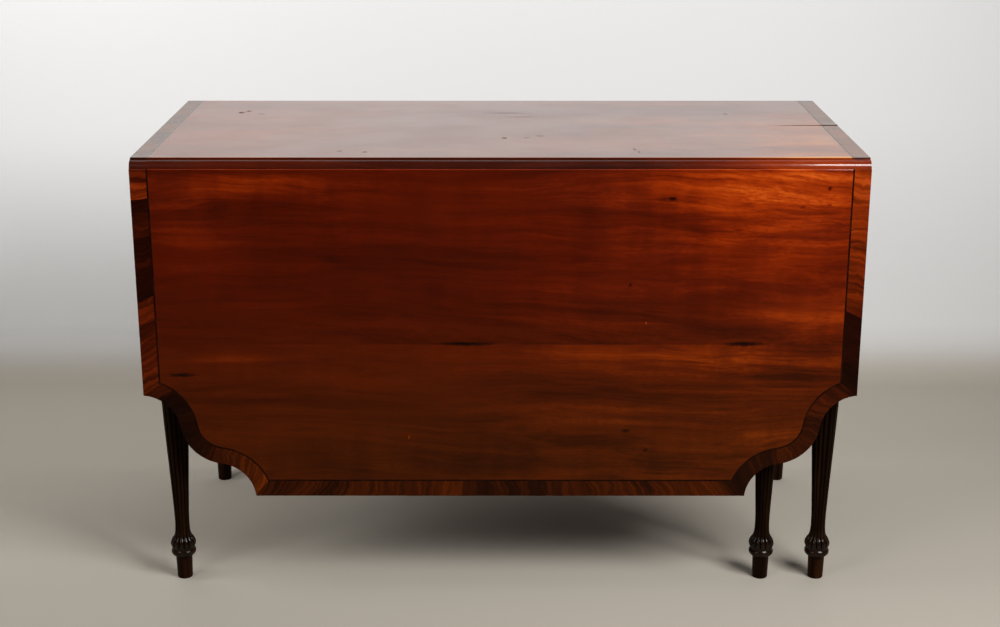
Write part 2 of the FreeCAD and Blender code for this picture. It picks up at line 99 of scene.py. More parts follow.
def put(tree, kind, sockets=(), **settings):
    """Adds a node; a socket is linked if it is given a node's output, or else set."""
    made = tree.nodes.new(kind)
    for key, value in settings.items():
        setattr(made, key, value)
    for key, value in dict(sockets).items():
        if isinstance(value, bpy.types.NodeSocket):
            tree.links.new(value, made.inputs[key])
        else:
            made.inputs[key].default_value = value
    return made.outputs


def home(*values):
    """Tree of the first node's output among some values."""
    return next(value.id_data for value in values if isinstance(value, bpy.types.NodeSocket))


def reckon(operation, *values):
    return put(home(*values), "ShaderNodeMath", dict(enumerate(values)), operation=operation)[0]


def plus(first, second):
    return reckon("ADD", first, second)


def minus(first, second):
    return reckon("SUBTRACT", first, second)


def times(first, second):
    return reckon("MULTIPLY", first, second)


def vector(**parts):
    return put(home(*parts.values()), "ShaderNodeCombineXYZ", parts)[0]


def split(place):
    return put(place.id_data, "ShaderNodeSeparateXYZ", {0: place})


def new_tree(name, inputs):
    """Geometry tree with a named input for each size, and its group input's sockets."""
    tree = bpy.data.node_groups.new(name, "GeometryNodeTree")
    tree.interface.new_socket("Geometry", in_out="INPUT", socket_type="NodeSocketGeometry")
    for label, kind in inputs.items():
        tree.interface.new_socket(label, in_out="INPUT", socket_type="NodeSocket" + kind)
    tree.interface.new_socket("Geometry", in_out="OUTPUT", socket_type="NodeSocketGeometry")
    return tree, put(tree, "NodeGroupInput")


def end_tree(tree, geometry, material):
    real = put(tree, "GeometryNodeRealizeInstances", {0: geometry})[0]
    dressed = put(tree, "GeometryNodeSetMaterial", {"Geometry": real, "Material": material})[0]
    put(tree, "NodeGroupOutput", {"Geometry": dressed})


def stood_up(name, data):
    """New object in the scene."""
    scene_object = bpy.data.objects.new(name, data)
    scene.collection.objects.link(scene_object)
    return scene_object


def settled(name, maker):
    """Plain piece of an object with its modifiers carried out."""
    bpy.context.view_layer.update()
    ready = maker.evaluated_get(bpy.context.evaluated_depsgraph_get())
    piece = stood_up(name, bpy.data.meshes.new_from_object(ready))
    bpy.data.objects.remove(maker)
    return piece


def grown(name, data, tree, sizes):
    """Plain piece of what a tree grows from a curve or mesh; nothing live is left on it."""
    maker = stood_up(name + ".maker", data)
    modifier = maker.modifiers.new(tree.name, "NODES")
    modifier.node_group = tree
    for item in tree.interface.items_tree:
        if item.in_out == "INPUT" and item.name in sizes:
            modifier[item.identifier] = sizes[item.name]
    return settled(name, maker)


def leg_profile():
    """Half section of the turning, out along X and up Z; a point's radius holds its reed depth."""
    curve = bpy.data.curves.new("leg_profile", "CURVE")
    curve.dimensions = "3D"
    curve.resolution_u = PROFILE_STEPS
    spline = curve.splines.new("BEZIER")
    spline.bezier_points.add(len(LEG_STATIONS) - 1)
    for point, (height, diameter, depth_share, cut) in zip(spline.bezier_points, LEG_STATIONS):
        point.co = (diameter / 2, 0.0, height)
        point.radius = depth_share
        handle = "VECTOR" if cut == "corner" else "AUTO"
        point.handle_left_type = handle
        point.handle_right_type = handle
    return curve


def leg_tree():
    """Wraps a flat sheet round the profile, row by row, and joins the square post to it."""
    tree, sizes = new_tree("reeded_leg", {
        "Reeds": "Int", "Points Round": "Int", "Reed Depth": "Float", "Place": "Vector",
        "Post Width": "Float", "Post Depth": "Float", "Post Foot": "Vector", "Post Head": "Vector",
        "Arris": "Float", "Wood": "Material"})
    rows = put(tree, "GeometryNodeCurveToPoints", {"Curve": sizes["Geometry"]}, mode="EVALUATED")["Points"]
    row_count = put(tree, "GeometryNodeAttributeDomainSize", {0: rows}, component="POINTCLOUD")["Point Count"]
    columns = plus(sizes["Points Round"], 1.0)
    sheet = put(tree, "GeometryNodeMeshGrid", {
        "Size X": 1.0, "Size Y": 1.0, "Vertices X": columns, "Vertices Y": row_count})["Mesh"]
    place = put(tree, "GeometryNodeInputPosition")[0]
    on_sheet = split(place)
    turn_share = plus(on_sheet["X"], 0.5)
    row_share = plus(on_sheet["Y"], 0.5)
    row = reckon("ROUND", times(row_share, minus(row_count, 1.0)))

    def at_row(value, kind):
        return put(tree, "GeometryNodeSampleIndex", {"Geometry": rows, "Value": value, "Index": row},
                   data_type=kind, domain="POINT")["Value"]

    profile = split(at_row(place, "FLOAT_VECTOR"))
    depth_share = at_row(put(tree, "GeometryNodeInputRadius")[0], "FLOAT")
    # Each reed is a half round: 0 on its crown, 1 in the hollow between two reeds
    along_reed = reckon("FRACT", times(turn_share, sizes["Reeds"]))
    off_crown = minus(times(along_reed, 2.0), 1.0)
    off_squared = reckon("POWER", reckon("ABSOLUTE", off_crown), 2.0)
    crown = reckon("SQRT", minus(1.0, off_squared))
    hollow = times(minus(1.0, crown), depth_share)
    inward = minus(1.0, times(hollow, sizes["Reed Depth"]))
    radius = times(profile["X"], inward)
    angle = times(turn_share, 2 * math.pi)
    skin = vector(X=times(radius, reckon("COSINE", angle)),
                  Y=times(radius, reckon("SINE", angle)), Z=profile["Z"])
    marked = put(tree, "GeometryNodeStoreNamedAttribute", {
        "Geometry": sheet, "Name": "hollow", "Value": hollow}, data_type="FLOAT", domain="POINT")[0]
    wrapped = put(tree, "GeometryNodeSetPosition", {"Geometry": marked, "Position": skin})[0]
    turned = put(tree, "GeometryNodeMergeByDistance", {"Geometry": wrapped, "Distance": SEAM_DISTANCE})[0]
    square = put(tree, "GeometryNodeCurvePrimitiveQuadrilateral", {
        "Width": sizes["Post Width"], "Height": sizes["Post Depth"]})[0]
    eased = put(tree, "GeometryNodeFilletCurve", {
        "Curve": square, "Radius": sizes["Arris"], "Count": ARRIS_POINTS}, mode="POLY")[0]
    axis = put(tree, "GeometryNodeCurvePrimitiveLine", {
        "Start": sizes["Post Foot"], "End": sizes["Post Head"]})[0]
    post = put(tree, "GeometryNodeCurveToMesh", {"Curve": axis, "Profile Curve": eased, "Fill Caps": True})[0]
    whole = put(tree, "GeometryNodeJoinGeometry", {0: turned})[0]
    tree.links.new(post, whole.node.inputs[0])
    stood = put(tree, "GeometryNodeTransform", {"Geometry": whole, "Translation": sizes["Place"]})[0]
    smooth = put(tree, "GeometryNodeSetShadeSmooth", {
        "Geometry": stood, "Shade Smooth": True}, domain="FACE")[0]
    steep = reckon("GREATER_THAN", put(tree, "GeometryNodeInputMeshEdgeAngle")[0], CREASE)
    crisp = put(tree, "GeometryNodeSetShadeSmooth", {
        "Geometry": smooth, "Selection": steep, "Shade Smooth": False}, domain="EDGE")[0]
    end_tree(tree, crisp, sizes["Wood"])
    return tree


GRAIN_TURNS = {"x": (0.0, 0.0, 0.0), "y": (0.0, 0.0, math.pi / 2), "z": (0.0, math.pi / 2, 0.0)}
NOISE_ROUGHNESS = 0.58
# Two levels that most of a noise lies between
MIDDLE = (0.30, 0.70)
COAT_ROUGHNESS = 0.07
LEG_TONES = (
    (0.15, (0.0022, 0.0010, 0.0004)), (0.42, (0.0065, 0.0026, 0.0010)),
    (0.60, (0.0150, 0.0052, 0.0018)), (0.80, (0.0360, 0.0110, 0.0034)))
WAX_DARKENING = 0.35
FOOT_LIGHTENING = 0.08
RUBBED_COAT = 0.30
# Heights between which the lighter foot ends, and the rubbed wax begins and ends
FOOT_TOP = (0.032, 0.043)
COLLAR_FOOT = (0.040, 0.047)
BULB_TOP = (0.070, 0.090)


def spread(value, low, high, to_low=0.0, to_high=1.0):
    return put(value.id_data, "ShaderNodeMapRange", {
        "Value": value, "From Min": low, "From Max": high, "To Min": to_low, "To Max": to_high},
        interpolation_type="SMOOTHSTEP")[0]


def noise(coords, frequency, seed, detail, roughness):
    place = put(coords.id_data, "ShaderNodeMapping", {
        "Vector": coords, "Location": (seed, seed, seed), "Scale": frequency})[0]
    return put(coords.id_data, "ShaderNodeTexNoise", {
        "Vector": place, "Scale": 1.0, "Detail": detail, "Roughness": roughness})


def stretched(coords, along, across, detail, seed=0.0, limits=None):
    """Noise drawn out along the grain: repeats per metre along and across it. If limits are given,
    what lies between them is spread over 0 to 1."""
    value = noise(coords, (along, across, across), seed, detail, NOISE_ROUGHNESS)["Fac"]
    return spread(value, *limits) if limits else value


def weighted(*terms):
    """Sum of values, each times its weight."""
    total = 0.0
    for value, weight in terms:
        total = reckon("MULTIPLY_ADD", value, weight, total)
    return total


def tint(amount, tones):
    """Colour ramp through (place, colour) pairs."""
    colour_out = put(amount.id_data, "ShaderNodeValToRGB", {0: amount})["Color"]
    ramp = colour_out.node.color_ramp
    while len(ramp.elements) < len(tones):
        ramp.elements.new(1.0)
    for element, (place, colour) in zip(ramp.elements, tones):
        element.position = place
        element.color = (*colour, 1.0)
    return colour_out


def noted(tree, label):
    """What a mesh keeps at each of its points under a name."""
    return put(tree, "ShaderNodeAttribute", attribute_name=label)["Fac"]


def new_finish(name):
    """Empty material, and the places on the piece that has it."""
    material = bpy.data.materials.new(name)
    material.use_nodes = True
    material.node_tree.nodes.clear()
    return material, put(material.node_tree, "ShaderNodeTexCoord")["Object"]


def along_grain(coords, axis):
    return put(coords.id_data, "ShaderNodeMapping", {"Vector": coords, "Rotation": GRAIN_TURNS[axis]})[0]


def polish(colour, roughness, relief, relief_depth, ior, coat=0.0):
    """Shader of a finished surface: colour, roughness and relief come from the grain."""
    tree = colour.id_data
    bump = put(tree, "ShaderNodeBump", {"Height": relief, "Strength": 1.0, "Distance": relief_depth})[0]
    shader = put(tree, "ShaderNodeBsdfPrincipled", {
        "Base Color": colour, "Roughness": roughness, "Normal": bump, "IOR": ior,
        "Coat Weight": coat, "Coat Roughness": COAT_ROUGHNESS})[0]
    put(tree, "ShaderNodeOutputMaterial", {"Surface": shader})


def turned_wood():
    """Dark mahogany with old wax in the hollows and a little wear on the crowns of the reeds."""
    material, coords = new_finish("leg_mahogany")
    grain = along_grain(coords, "z")
    figure = stretched(grain, 5.0, 90.0, 4.0)
    fleck = stretched(grain, 40.0, 900.0, 2.0)
    height = split(coords)["Z"]
    foot = spread(height, *FOOT_TOP, FOOT_LIGHTENING, 0.0)
    hollow = noted(material.node_tree, "hollow")
    tone = weighted((figure, 1.0), (hollow, -WAX_DARKENING), (foot, 1.0))
    # Wax that hands and cloths have rubbed bright on the collar and the bulb
    rubbed = times(spread(height, *COLLAR_FOOT), spread(height, *BULB_TOP, RUBBED_COAT, 0.0))
    roughness = spread(figure, *MIDDLE, 0.34, 0.46)
    colour = tint(tone, LEG_TONES)
    polish(colour, roughness, fleck, relief_depth=0.0001, ior=1.07, coat=rubbed)
    return material


def fit_out(piece, body, slot, *nodes):
    """Attaches a finished piece to what it moves with, and hides the solids it stands in for. The slot is not
    used.
    """
    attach(piece, body)
    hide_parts(*nodes)


leg_wood = turned_wood()
reeded_leg = leg_tree()
leg_bodies = {
    "leg_front_left": "frame", "leg_front_right": "frame",
    "leg_rear_left": "frame", "leg_rear_right": "frame",
    "swing_leg_front": "front_swing_leg", "swing_leg_rear": "rear_swing_leg"}
for leg_name, leg_body in leg_bodies.items():
    low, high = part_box(leg_name)
    middle = (low + high) / 2
    post_size = high.x - low.x
    notch = SWING_NOTCH if "swing" in leg_name else 0.0
    outward = math.copysign(notch / 2, middle.y)
    leg = grown(leg_name + "_turned", leg_profile(), reeded_leg, {
        "Reeds": REED_COUNT, "Points Round": REED_COUNT * POINTS_PER_REED, "Reed Depth": REED_DEPTH_SHARE,
        "Place": (middle.x, middle.y, 0.0), "Post Width": post_size, "Post Depth": post_size - notch,
        "Post Foot": (0.0, outward, POST_BOTTOM), "Post Head": (0.0, outward, high.z),
        "Arris": POST_ARRIS, "Wood": leg_wood})
    fit_out(leg, leg_body, "leg_mahogany", leg_name)


# Rails: mahogany end aprons and pine inner rails, sawn and planed square, tenoned into the posts.
# The knuckled outer rails and the fly rails are birch, cut to interlock as a wooden hinge
# that turns on an iron pin.
RAIL_ARRIS = 0.0009
MERGE_DISTANCE = 1e-6
BROAD_FACE = 4e-4
FLAT_WITHIN = math.radians(1)
SHARP_PAST = math.radians(40)


def smooth_by_angle(piece, degrees):
    """Rounds are shaded smooth; broad faces stay dead flat, as the plane left them."""
    piece.data.shade_smooth()
    piece.data.set_sharp_from_angle(angle=math.radians(degrees))
    for face in piece.data.polygons:
        if face.area > BROAD_FACE:
            face.use_smooth = False


def to_mesh(name, solid):
    mesh = bpy.data.meshes.new(name)
    solid.to_mesh(mesh)
    solid.free()
    return mesh


def eased_copy(node, arris):
    """Copy of a solid with its sharp edges taken off, as a plane or a file leaves them."""
    solid = bmesh.new()
    solid.from_mesh(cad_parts[node].data)
    bmesh.ops.remove_doubles(solid, verts=solid.verts, dist=MERGE_DISTANCE)
    bmesh.ops.dissolve_limit(solid, angle_limit=FLAT_WITHIN, verts=solid.verts, edges=solid.edges)
    maker = stood_up(node + ".maker", to_mesh(node + ".eased", solid))
    edge = maker.modifiers.new("arris", "BEVEL")
    edge.width = arris
    edge.segments = 2
    edge.limit_method = "ANGLE"
    edge.angle_limit = SHARP_PAST
    edge.use_clamp_overlap = True
    piece = settled(node + "_eased", maker)
    smooth_by_angle(piece, degrees=30)
    return piece


def plain_wood(name, grain_axis, tones, figure_scale, roughness, ior=1.36):
    """Sawn and planed wood: broad figure, streaks and pores along one axis."""
    material, coords = new_finish(name)
    grain = along_grain(coords, grain_axis)
    broad = stretched(grain, 1.5, figure_scale, 3.0, 2.7)
    streak = stretched(grain, 4.0, figure_scale * 6, 4.0, 5.1)
    pores = stretched(grain, 35.0, 850.0, 2.0, limits=(0.56, 0.72))
    tone = weighted((broad, 0.6), (streak, 0.4), (pores, -0.10))
    sheen = spread(streak, *MIDDLE, roughness - 0.06, roughness + 0.06)
    polish(tint(tone, tones), sheen, tone, relief_depth=0.0003, ior=ior)
    return material


APRON_TONES = ((0.30, (0.012, 0.0024, 0.0005)), (0.48, (0.040, 0.0062, 0.0009)),
               (0.58, (0.078, 0.0125, 0.0016)), (0.72, (0.130, 0.0250, 0.0036)))
BIRCH_TONES = ((0.30, (0.130, 0.070, 0.032)), (0.48, (0.230, 0.132, 0.064)),
               (0.60, (0.310, 0.190, 0.098)), (0.75, (0.390, 0.255, 0.140)))
PINE_TONES = ((0.28, (0.150, 0.080, 0.034)), (0.46, (0.300, 0.180, 0.085)),
              (0.60, (0.400, 0.255, 0.128)), (0.75, (0.480, 0.325, 0.175)))

apron_wood = plain_wood("apron_mahogany", "y", APRON_TONES, figure_scale=16.0, roughness=0.36, ior=1.22)
birch = plain_wood("rail_birch", "x", BIRCH_TONES, figure_scale=20.0, roughness=0.55)
pine_along = plain_wood("pine_rails", "x", PINE_TONES, figure_scale=26.0, roughness=0.62)

rail_pieces = (
    ("end_apron_left", "frame", "apron_mahogany", apron_wood),
    ("end_apron_right", "frame", "apron_mahogany", apron_wood),
    ("inner_rail_front", "frame", "secondary_wood", pine_along),
    ("inner_rail_rear", "frame", "secondary_wood", pine_along),
    ("knuckle_rail_front", "frame", "rail_birch", birch),
    ("knuckle_rail_rear", "frame", "rail_birch", birch),
    ("fly_rail_front", "front_swing_leg", "rail_birch", birch),
    ("fly_rail_rear", "rear_swing_leg", "rail_birch", birch),
)


def dress_copies(pieces, arris):
    """Pieces that keep the shape of their solids but for the eased edges."""
    for node, body, slot, material in pieces:
        piece = eased_copy(node, arris)
        piece.data.materials.clear()
        piece.data.materials.append(material)
        fit_out(piece, body, slot, node)


dress_copies(rail_pieces, RAIL_ARRIS)


# Braces and glue blocks: pine, the braces dovetailed down into the inner rails to tie the frame
# and hold the top, the three-cornered blocks rubbed into its corners with hot glue.
pine_across = plain_wood("pine_braces", "y", PINE_TONES, figure_scale=24.0, roughness=0.64)
pine_upright = plain_wood("pine_blocks", "z", PINE_TONES, figure_scale=24.0, roughness=0.64)
dress_copies((
    ("cross_brace_left", "frame", "secondary_wood", pine_across),
    ("cross_brace_right", "frame", "secondary_wood", pine_across),
    ("glue_blocks", "frame", "secondary_wood", pine_upright),
), RAIL_ARRIS)


# Fixed top: one wide mahogany board with the quarter round of the rule joint worked on both long
# edges, rebated at its ends for the banding and let in below for the hinges. A shrinkage crack
# runs in from the right-hand end.
RULE_FILLET = 0.003
RULE_RADIUS = 0.012
ROUND_STEPS = 14
TOP_ARRIS = 0.0005
EASE_SHARE = 0.3
BAND_WIDTH = 0.026
STRING_WIDTH = 0.0027
INLAY_DEPTH = 0.0015
HINGE_ROOM = 0.0192
HINGE_X = 0.380
TOP_PLATE_ROOM = 0.0322
PLATE_THICKNESS = 0.002
BARREL_ROOM = 0.0036
CRACK_START = Vector((0.460, 0.0110))
CRACK_WIDTH = 0.0040
OVERRUN = 0.005

top_low, top_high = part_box("top_board")
half_length = top_high.x
top_z = top_high.z
underside = top_low.z
hinge_y = top_high.y - RULE_RADIUS
hinge_z = top_z - RULE_FILLET - RULE_RADIUS
field_end = half_length - BAND_WIDTH - STRING_WIDTH


def skinned(name, rings, notes=None):
    """Closed mesh between rings of points, with the first and last ring filled in. Notes give each
    point of a band its way along it, its way across it and the veneer's tone there."""
    solid = bmesh.new()
    layers = [solid.verts.layers.float.new(label) for label in ("along", "across", "tone")] if notes else []
    rows = [[solid.verts.new(point) for point in ring] for ring in rings]
    for which, layer in enumerate(layers):
        for row, row_notes in zip(rows, notes):
            for vertex, note in zip(row, row_notes):
                vertex[layer] = note[which]
    solid.faces.new(rows[0])
    solid.faces.new(list(reversed(rows[-1])))
    count = len(rows[0])
    for lower, upper in zip(rows, rows[1:]):
        for k in range(count):
            solid.faces.new((lower[k - 1], upper[k - 1], upper[k], lower[k]))
    bmesh.ops.remove_doubles(solid, verts=solid.verts, dist=MERGE_DISTANCE)
    bmesh.ops.recalc_face_normals(solid, faces=solid.faces)
    return to_mesh(name, solid)


def slab(x, y, z):
    """Box between (low, high) pairs, as a mesh to cut with or to keep."""
    corners = ((x[0], y[0]), (x[1], y[0]), (x[1], y[1]), (x[0], y[1]))
    return skinned("slab", [[(px, py, height) for px, py in corners] for height in z])


def lengthwise_rod(x, y, z, radius):
    steps = 4 * ROUND_STEPS
    turns = [2 * math.pi * k / steps for k in range(steps)]
    circle = [(y + radius * math.cos(turn), z + radius * math.sin(turn)) for turn in turns]
    return skinned("rod", [[(end, py, pz) for py, pz in circle] for end in x])


def cut_away(name, mesh, cutters):
    """Piece left when each cutter has been taken from a mesh."""
    maker = stood_up(name + ".maker", mesh)
    tools = [stood_up(name + ".tool", cutter) for cutter in cutters]
    for tool in tools:
        cut = maker.modifiers.new("cut", "BOOLEAN")
        cut.operation = "DIFFERENCE"
        cut.solver = "EXACT"
        cut.object = tool
    piece = settled(name, maker)
    for tool in tools:
        bpy.data.objects.remove(tool)
    return piece


def top_section(top):
    """Outline across the board at one place along it; top is the height of its upper face."""
    foot = math.asin((underside - hinge_z) / RULE_RADIUS)
    right = []
    for k in range(ROUND_STEPS + 1):
        angle = foot + (math.pi / 2 - foot) * k / ROUND_STEPS
        right.append((hinge_y + RULE_RADIUS * math.cos(angle), hinge_z + RULE_RADIUS * math.sin(angle)))
    right.append((hinge_y, top_z - INLAY_DEPTH))
    if top < top_z:
        # As many points as the eased edge has
        right += [(hinge_y, top)] * 3
    else:
        eased = EASE_SHARE * TOP_ARRIS
        right += [(hinge_y, top - TOP_ARRIS), (hinge_y - eased, top - eased), (hinge_y - TOP_ARRIS, top)]
    return right + [(-y, z) for y, z in reversed(right)]


def top_mesh():
    rebate_z = top_z - INLAY_DEPTH
    stations = ((-half_length, rebate_z), (-field_end, rebate_z), (-field_end, top_z),
                (field_end, top_z), (field_end, rebate_z), (half_length, rebate_z))
    return skinned("top", [[(x, y, z) for y, z in top_section(top)] for x, top in stations])


def top_hinge_recesses():
    """Beds for the top plates, and grooves in the rounds for the barrels."""
    tools = []
    for side in (-1, 1):
        edge = side * hinge_y
        bed_y = sorted((edge, edge - side * TOP_PLATE_ROOM))
        notch_y = sorted((edge - side * BARREL_ROOM, edge + side * (RULE_RADIUS + OVERRUN)))
        for x in (-HINGE_X, HINGE_X):
            width = (x - HINGE_ROOM, x + HINGE_ROOM)
            tools.append(slab(width, bed_y, (underside - OVERRUN, underside + PLATE_THICKNESS)))
            tools.append(slab(width, notch_y, (underside - OVERRUN, hinge_z)))
            tools.append(lengthwise_rod(width, edge, hinge_z, BARREL_ROOM))
    return tools


def crack():
    """Wedge from where the crack dies out to past the end of the board."""
    end = half_length + OVERRUN
    half = CRACK_WIDTH / 2
    plan = (CRACK_START, (end, CRACK_START.y - half), (end, CRACK_START.y + half))
    return skinned("crack", [[(x, y, z) for x, y in plan] for z in (underside - OVERRUN, top_z + OVERRUN)])


def placed(coords, flat_axis, spots, value):
    """Lifts or lowers a tone at listed spots: (across, up or back, half sizes, change)."""
    for spot_x, spot_v, half_x, half_v, change in spots:
        scale = [1 / half_x, 1 / half_v, 1 / half_v]
        offset = [-spot_x / half_x, -spot_v / half_v, -spot_v / half_v]
        scale[flat_axis] = 0.0
        offset[flat_axis] = 0.0
        near = put(coords.id_data, "ShaderNodeMapping", {
            "Vector": coords, "Location": offset, "Scale": scale})[0]
        away = put(coords.id_data, "ShaderNodeVectorMath", {0: near}, operation="LENGTH")["Value"]
        value = plus(value, spread(away, 0.0, 1.0, change, 0.0))
    return value


def reckon_vector(operation, first, second):
    return put(first.id_data, "ShaderNodeVectorMath", {0: first, 1: second}, operation=operation)[0]


def warped(coords, frequency, reach, seed):
    """Coordinates pushed about by noise, so that a figure or a stain has no ruled outline."""
    push = noise(coords, frequency, seed, detail=3.0, roughness=0.6)["Color"]
    centred = reckon_vector("SUBTRACT", push, (0.5, 0.5, 0.5))
    return reckon_vector("ADD", coords, reckon_vector("MULTIPLY", centred, reach))


MAHOGANY_TONES = (
    (0.00, (0.0060, 0.0010, 0.0002)), (0.25, (0.0300, 0.0029, 0.0002)), (0.45, (0.0750, 0.0063, 0.0003)),
    (0.60, (0.1350, 0.0125, 0.0005)), (0.78, (0.2500, 0.0290, 0.0012)), (1.00, (0.4600, 0.0900, 0.0060)))
FLAT_Y = 1
FLAT_Z = 2
GRAIN_SLOPE = math.radians(1.6)
FIGURE_MEAN = 0.18
BOARD_SHIFT = 3.7
NO_JOINT = -1.0
WIDE = (0.28, 0.72)
# Years of wiping have thinned the polish at the left end: two places, and the share left at each
THIN_POLISH = (-0.57, -0.18, 0.50, 1.0)


def browner_by_height(colour, height, browning):
    """Makes a colour browner by height, with more green: two heights, and how much more green there is
    at each. On the leaves and on the flat of the top this is painted light.
    """
    browner = vector(X=1.0, Y=spread(height, *browning), Z=1.0)
    return reckon_vector("MULTIPLY", colour, browner)


def figured_mahogany(name, flat_axis, edge, browning, base, roughness, ior, joint=NO_JOINT,
                     flames=(), tone_and_light_patches=(), marks=(), dulling=0.0):
    """Polished show wood with its grain along X: ribbon figure, streaks, pores, stains and dings.
    Past a joint across the flat, the second board of the panel has a figure of its own. The edge
    gives heights on the moulded edge, with the change of tone and the coat of polish at each.
    Some of the edge tones, the patches and the browning by height are painted light and shade."""
    material, coords = new_finish(name)
    tree = material.node_tree
    axes = split(coords)
    past_joint = reckon("LESS_THAN", axes["Z" if flat_axis == FLAT_Y else "Y"], joint)
    board = reckon_vector("ADD", coords, vector(X=times(past_joint, BOARD_SHIFT)))
    sloped = put(tree, "ShaderNodeMapping", {
        "Vector": board, "Rotation": (0.0, -GRAIN_SLOPE, GRAIN_SLOPE)})[0]
    grain = warped(sloped, (1.6, 5.0, 5.0), (0.0, 0.09, 0.09), 8.3)
    curled = warped(grain, (9.0, 20.0, 20.0), (0.03, 0.0, 0.0), 2.2)
    broad = stretched(grain, 1.0, 12.0, 2.0, 1.9, MIDDLE)
    streak = stretched(grain, 2.4, 62.0, 4.0, 4.4, WIDE)
    fine = stretched(grain, 9.0, 330.0, 3.0, 9.2, WIDE)
    ribbon = stretched(curled, 26.0, 7.0, 2.0, 6.6, MIDDLE)
    pores = stretched(grain, 45.0, 1100.0, 2.0, 0.7, (0.55, 0.68))
    lines = stretched(grain, 1.4, 150.0, 3.0, 7.1, (0.58, 0.70))
    mottle = stretched(grain, 95.0, 240.0, 3.0, 5.8, MIDDLE)
    figure = weighted(
        (broad, 0.13), (streak, 0.15), (fine, 0.06), (times(ribbon, broad), 0.08),
        (times(mottle, streak), 0.06), (pores, -0.05), (lines, -0.06))
    # The figure is strong at one end of the log and dies out towards the other, but for its flames
    strength = placed(coords, flat_axis, flames, spread(axes["X"], -0.15, 0.35, 0.55, 1.0))
    low, high = edge[0][0], edge[-1][0]
    up_edge = put(tree, "ShaderNodeMapRange", {"Value": axes["Z"], "From Min": low, "From Max": high})[0]
    level = FIGURE_MEAN + base
    steps = [((height - low) / (high - low), (level + change, coat, 0.0)) for height, change, coat in edge]
    # Red holds the tone up the edge, green the coat
    at_edge = put(tree, "ShaderNodeSeparateColor", {0: tint(up_edge, steps)})
    tone = plus(times(minus(figure, FIGURE_MEAN), strength), at_edge["Red"])
    # Patches lift or lower the tone: partly the wood's own tone, partly painted light and shade
    wavering = warped(coords, (5.0, 30.0, 30.0), (0.10, 0.018, 0.018), 5.5)
    lifted = placed(wavering, flat_axis, tone_and_light_patches, tone)
    ragged = warped(coords, (160.0, 240.0, 240.0), (0.012, 0.006, 0.006), 3.1)
    stained = placed(ragged, flat_axis, marks, lifted)
    # Browner by height, as painted light: floor-bounced brown low on the leaves, and a lighter flat on the
    # top
    colour = browner_by_height(tint(stained, MAHOGANY_TONES), axes["Z"], browning)
    haze = stretched(coords, 6.0, 9.0, 2.0, 3.3)
    gloss = spread(haze, *MIDDLE, roughness - 0.04, roughness + 0.05)
    # Where a knock or a stain has darkened the wood, the polish is gone too
    bare = put(tree, "ShaderNodeMath", {0: minus(lifted, stained), 1: 4.0},
               operation="MULTIPLY", use_clamp=True)[0]
    dull = plus(gloss, times(bare, dulling))
    left_on = times(spread(axes["X"], *THIN_POLISH), minus(1.0, bare))
    uneven = spread(stretched(coords, 24.0, 60.0, 2.0, 6.1), 0.36, 0.64, 0.90, 1.0)
    coat = times(times(at_edge["Green"], left_on), uneven)
    polish(colour, dull, minus(fine, pores), relief_depth=0.0000015, ior=ior, coat=coat)
    return material


# The flat of the top is painted lighter and browner, as painted light, and its moulded edge darker, as
# painted shade; cloths keep a heavy coat of polish on the lower round
TOP_EDGE_LIGHT_SHADE_COAT = (
    (hinge_z, -0.14, 0.95), (hinge_z + 0.0075, -0.14, 0.95), (hinge_z + 0.0100, -0.17, 0.05),
    (top_z - 0.0012, -0.15, 0.05), (top_z - 0.0003, 0.18, 0.53))
TOP_FLAT_LIGHT_TINT = (top_z - 0.0012, top_z - 0.0003, 1.0, 2.0)
# Spots where the top's tone is lifted or lowered: partly the wood's own tone, partly painted light, as on the
# right-hand end of the round
TOP_TONE_AND_LIGHT_PATCHES = (
    (0.53, -0.05, 0.20, 0.38, 0.16), (0.02, 0.05, 0.34, 0.24, -0.07), (-0.46, -0.02, 0.30, 0.34, 0.06),
    (0.47, -0.262, 0.36, 0.030, 0.42), (-0.44, -0.262, 0.30, 0.030, 0.13))
TOP_MARKS = (
    (-0.457, 0.132, 0.008, 0.013, -0.26), (-0.447, 0.146, 0.008, 0.010, -0.22),
    (-0.420, 0.118, 0.011, 0.007, -0.10), (-0.253, -0.204, 0.005, 0.006, -0.22),
    (-0.213, -0.212, 0.005, 0.006, -0.24), (0.007, -0.098, 0.006, 0.008, -0.30),
    (0.043, -0.098, 0.008, 0.006, -0.12), (0.065, -0.082, 0.011, 0.008, -0.10),
    (0.213, -0.190, 0.004, 0.014, -0.13), (0.218, -0.210, 0.004, 0.012, -0.12),
    (0.011, 0.128, 0.050, 0.008, -0.07), (0.037, 0.090, 0.045, 0.009, -0.05),
    (0.396, 0.119, 0.007, 0.010, -0.10), (0.558, -0.2555, 0.020, 0.0050, -0.36),
    (0.530, CRACK_START.y, 0.085, 0.0045, -0.60))

UNDERSIDE_TONES = ((0.30, (0.034, 0.0110, 0.0042)), (0.48, (0.080, 0.0280, 0.0105)),
                   (0.58, (0.122, 0.0450, 0.0170)), (0.72, (0.180, 0.0740, 0.0300)))
END_TONES = ((0.34, (0.010, 0.0022, 0.0005)), (0.48, (0.030, 0.0054, 0.0010)),
             (0.66, (0.062, 0.0125, 0.0022)))
FACING = 0.9
bare_underside = plain_wood(
    "bare_underside", "x", UNDERSIDE_TONES, figure_scale=14.0, roughness=0.62, ior=1.3)
end_grain = plain_wood("end_grain", "x", END_TONES, figure_scale=110.0, roughness=0.50, ior=1.2)


def bare_sides(piece, unseen):
    """Gives the side that is never seen the bare planed wood, and the two ends the end grain."""
    piece.data.materials.append(bare_underside)
    piece.data.materials.append(end_grain)
    for face in piece.data.polygons:
        if face.normal.dot(Vector(unseen)) > FACING:
            face.material_index = 1
        elif abs(face.normal.x) > FACING:
            face.material_index = 2


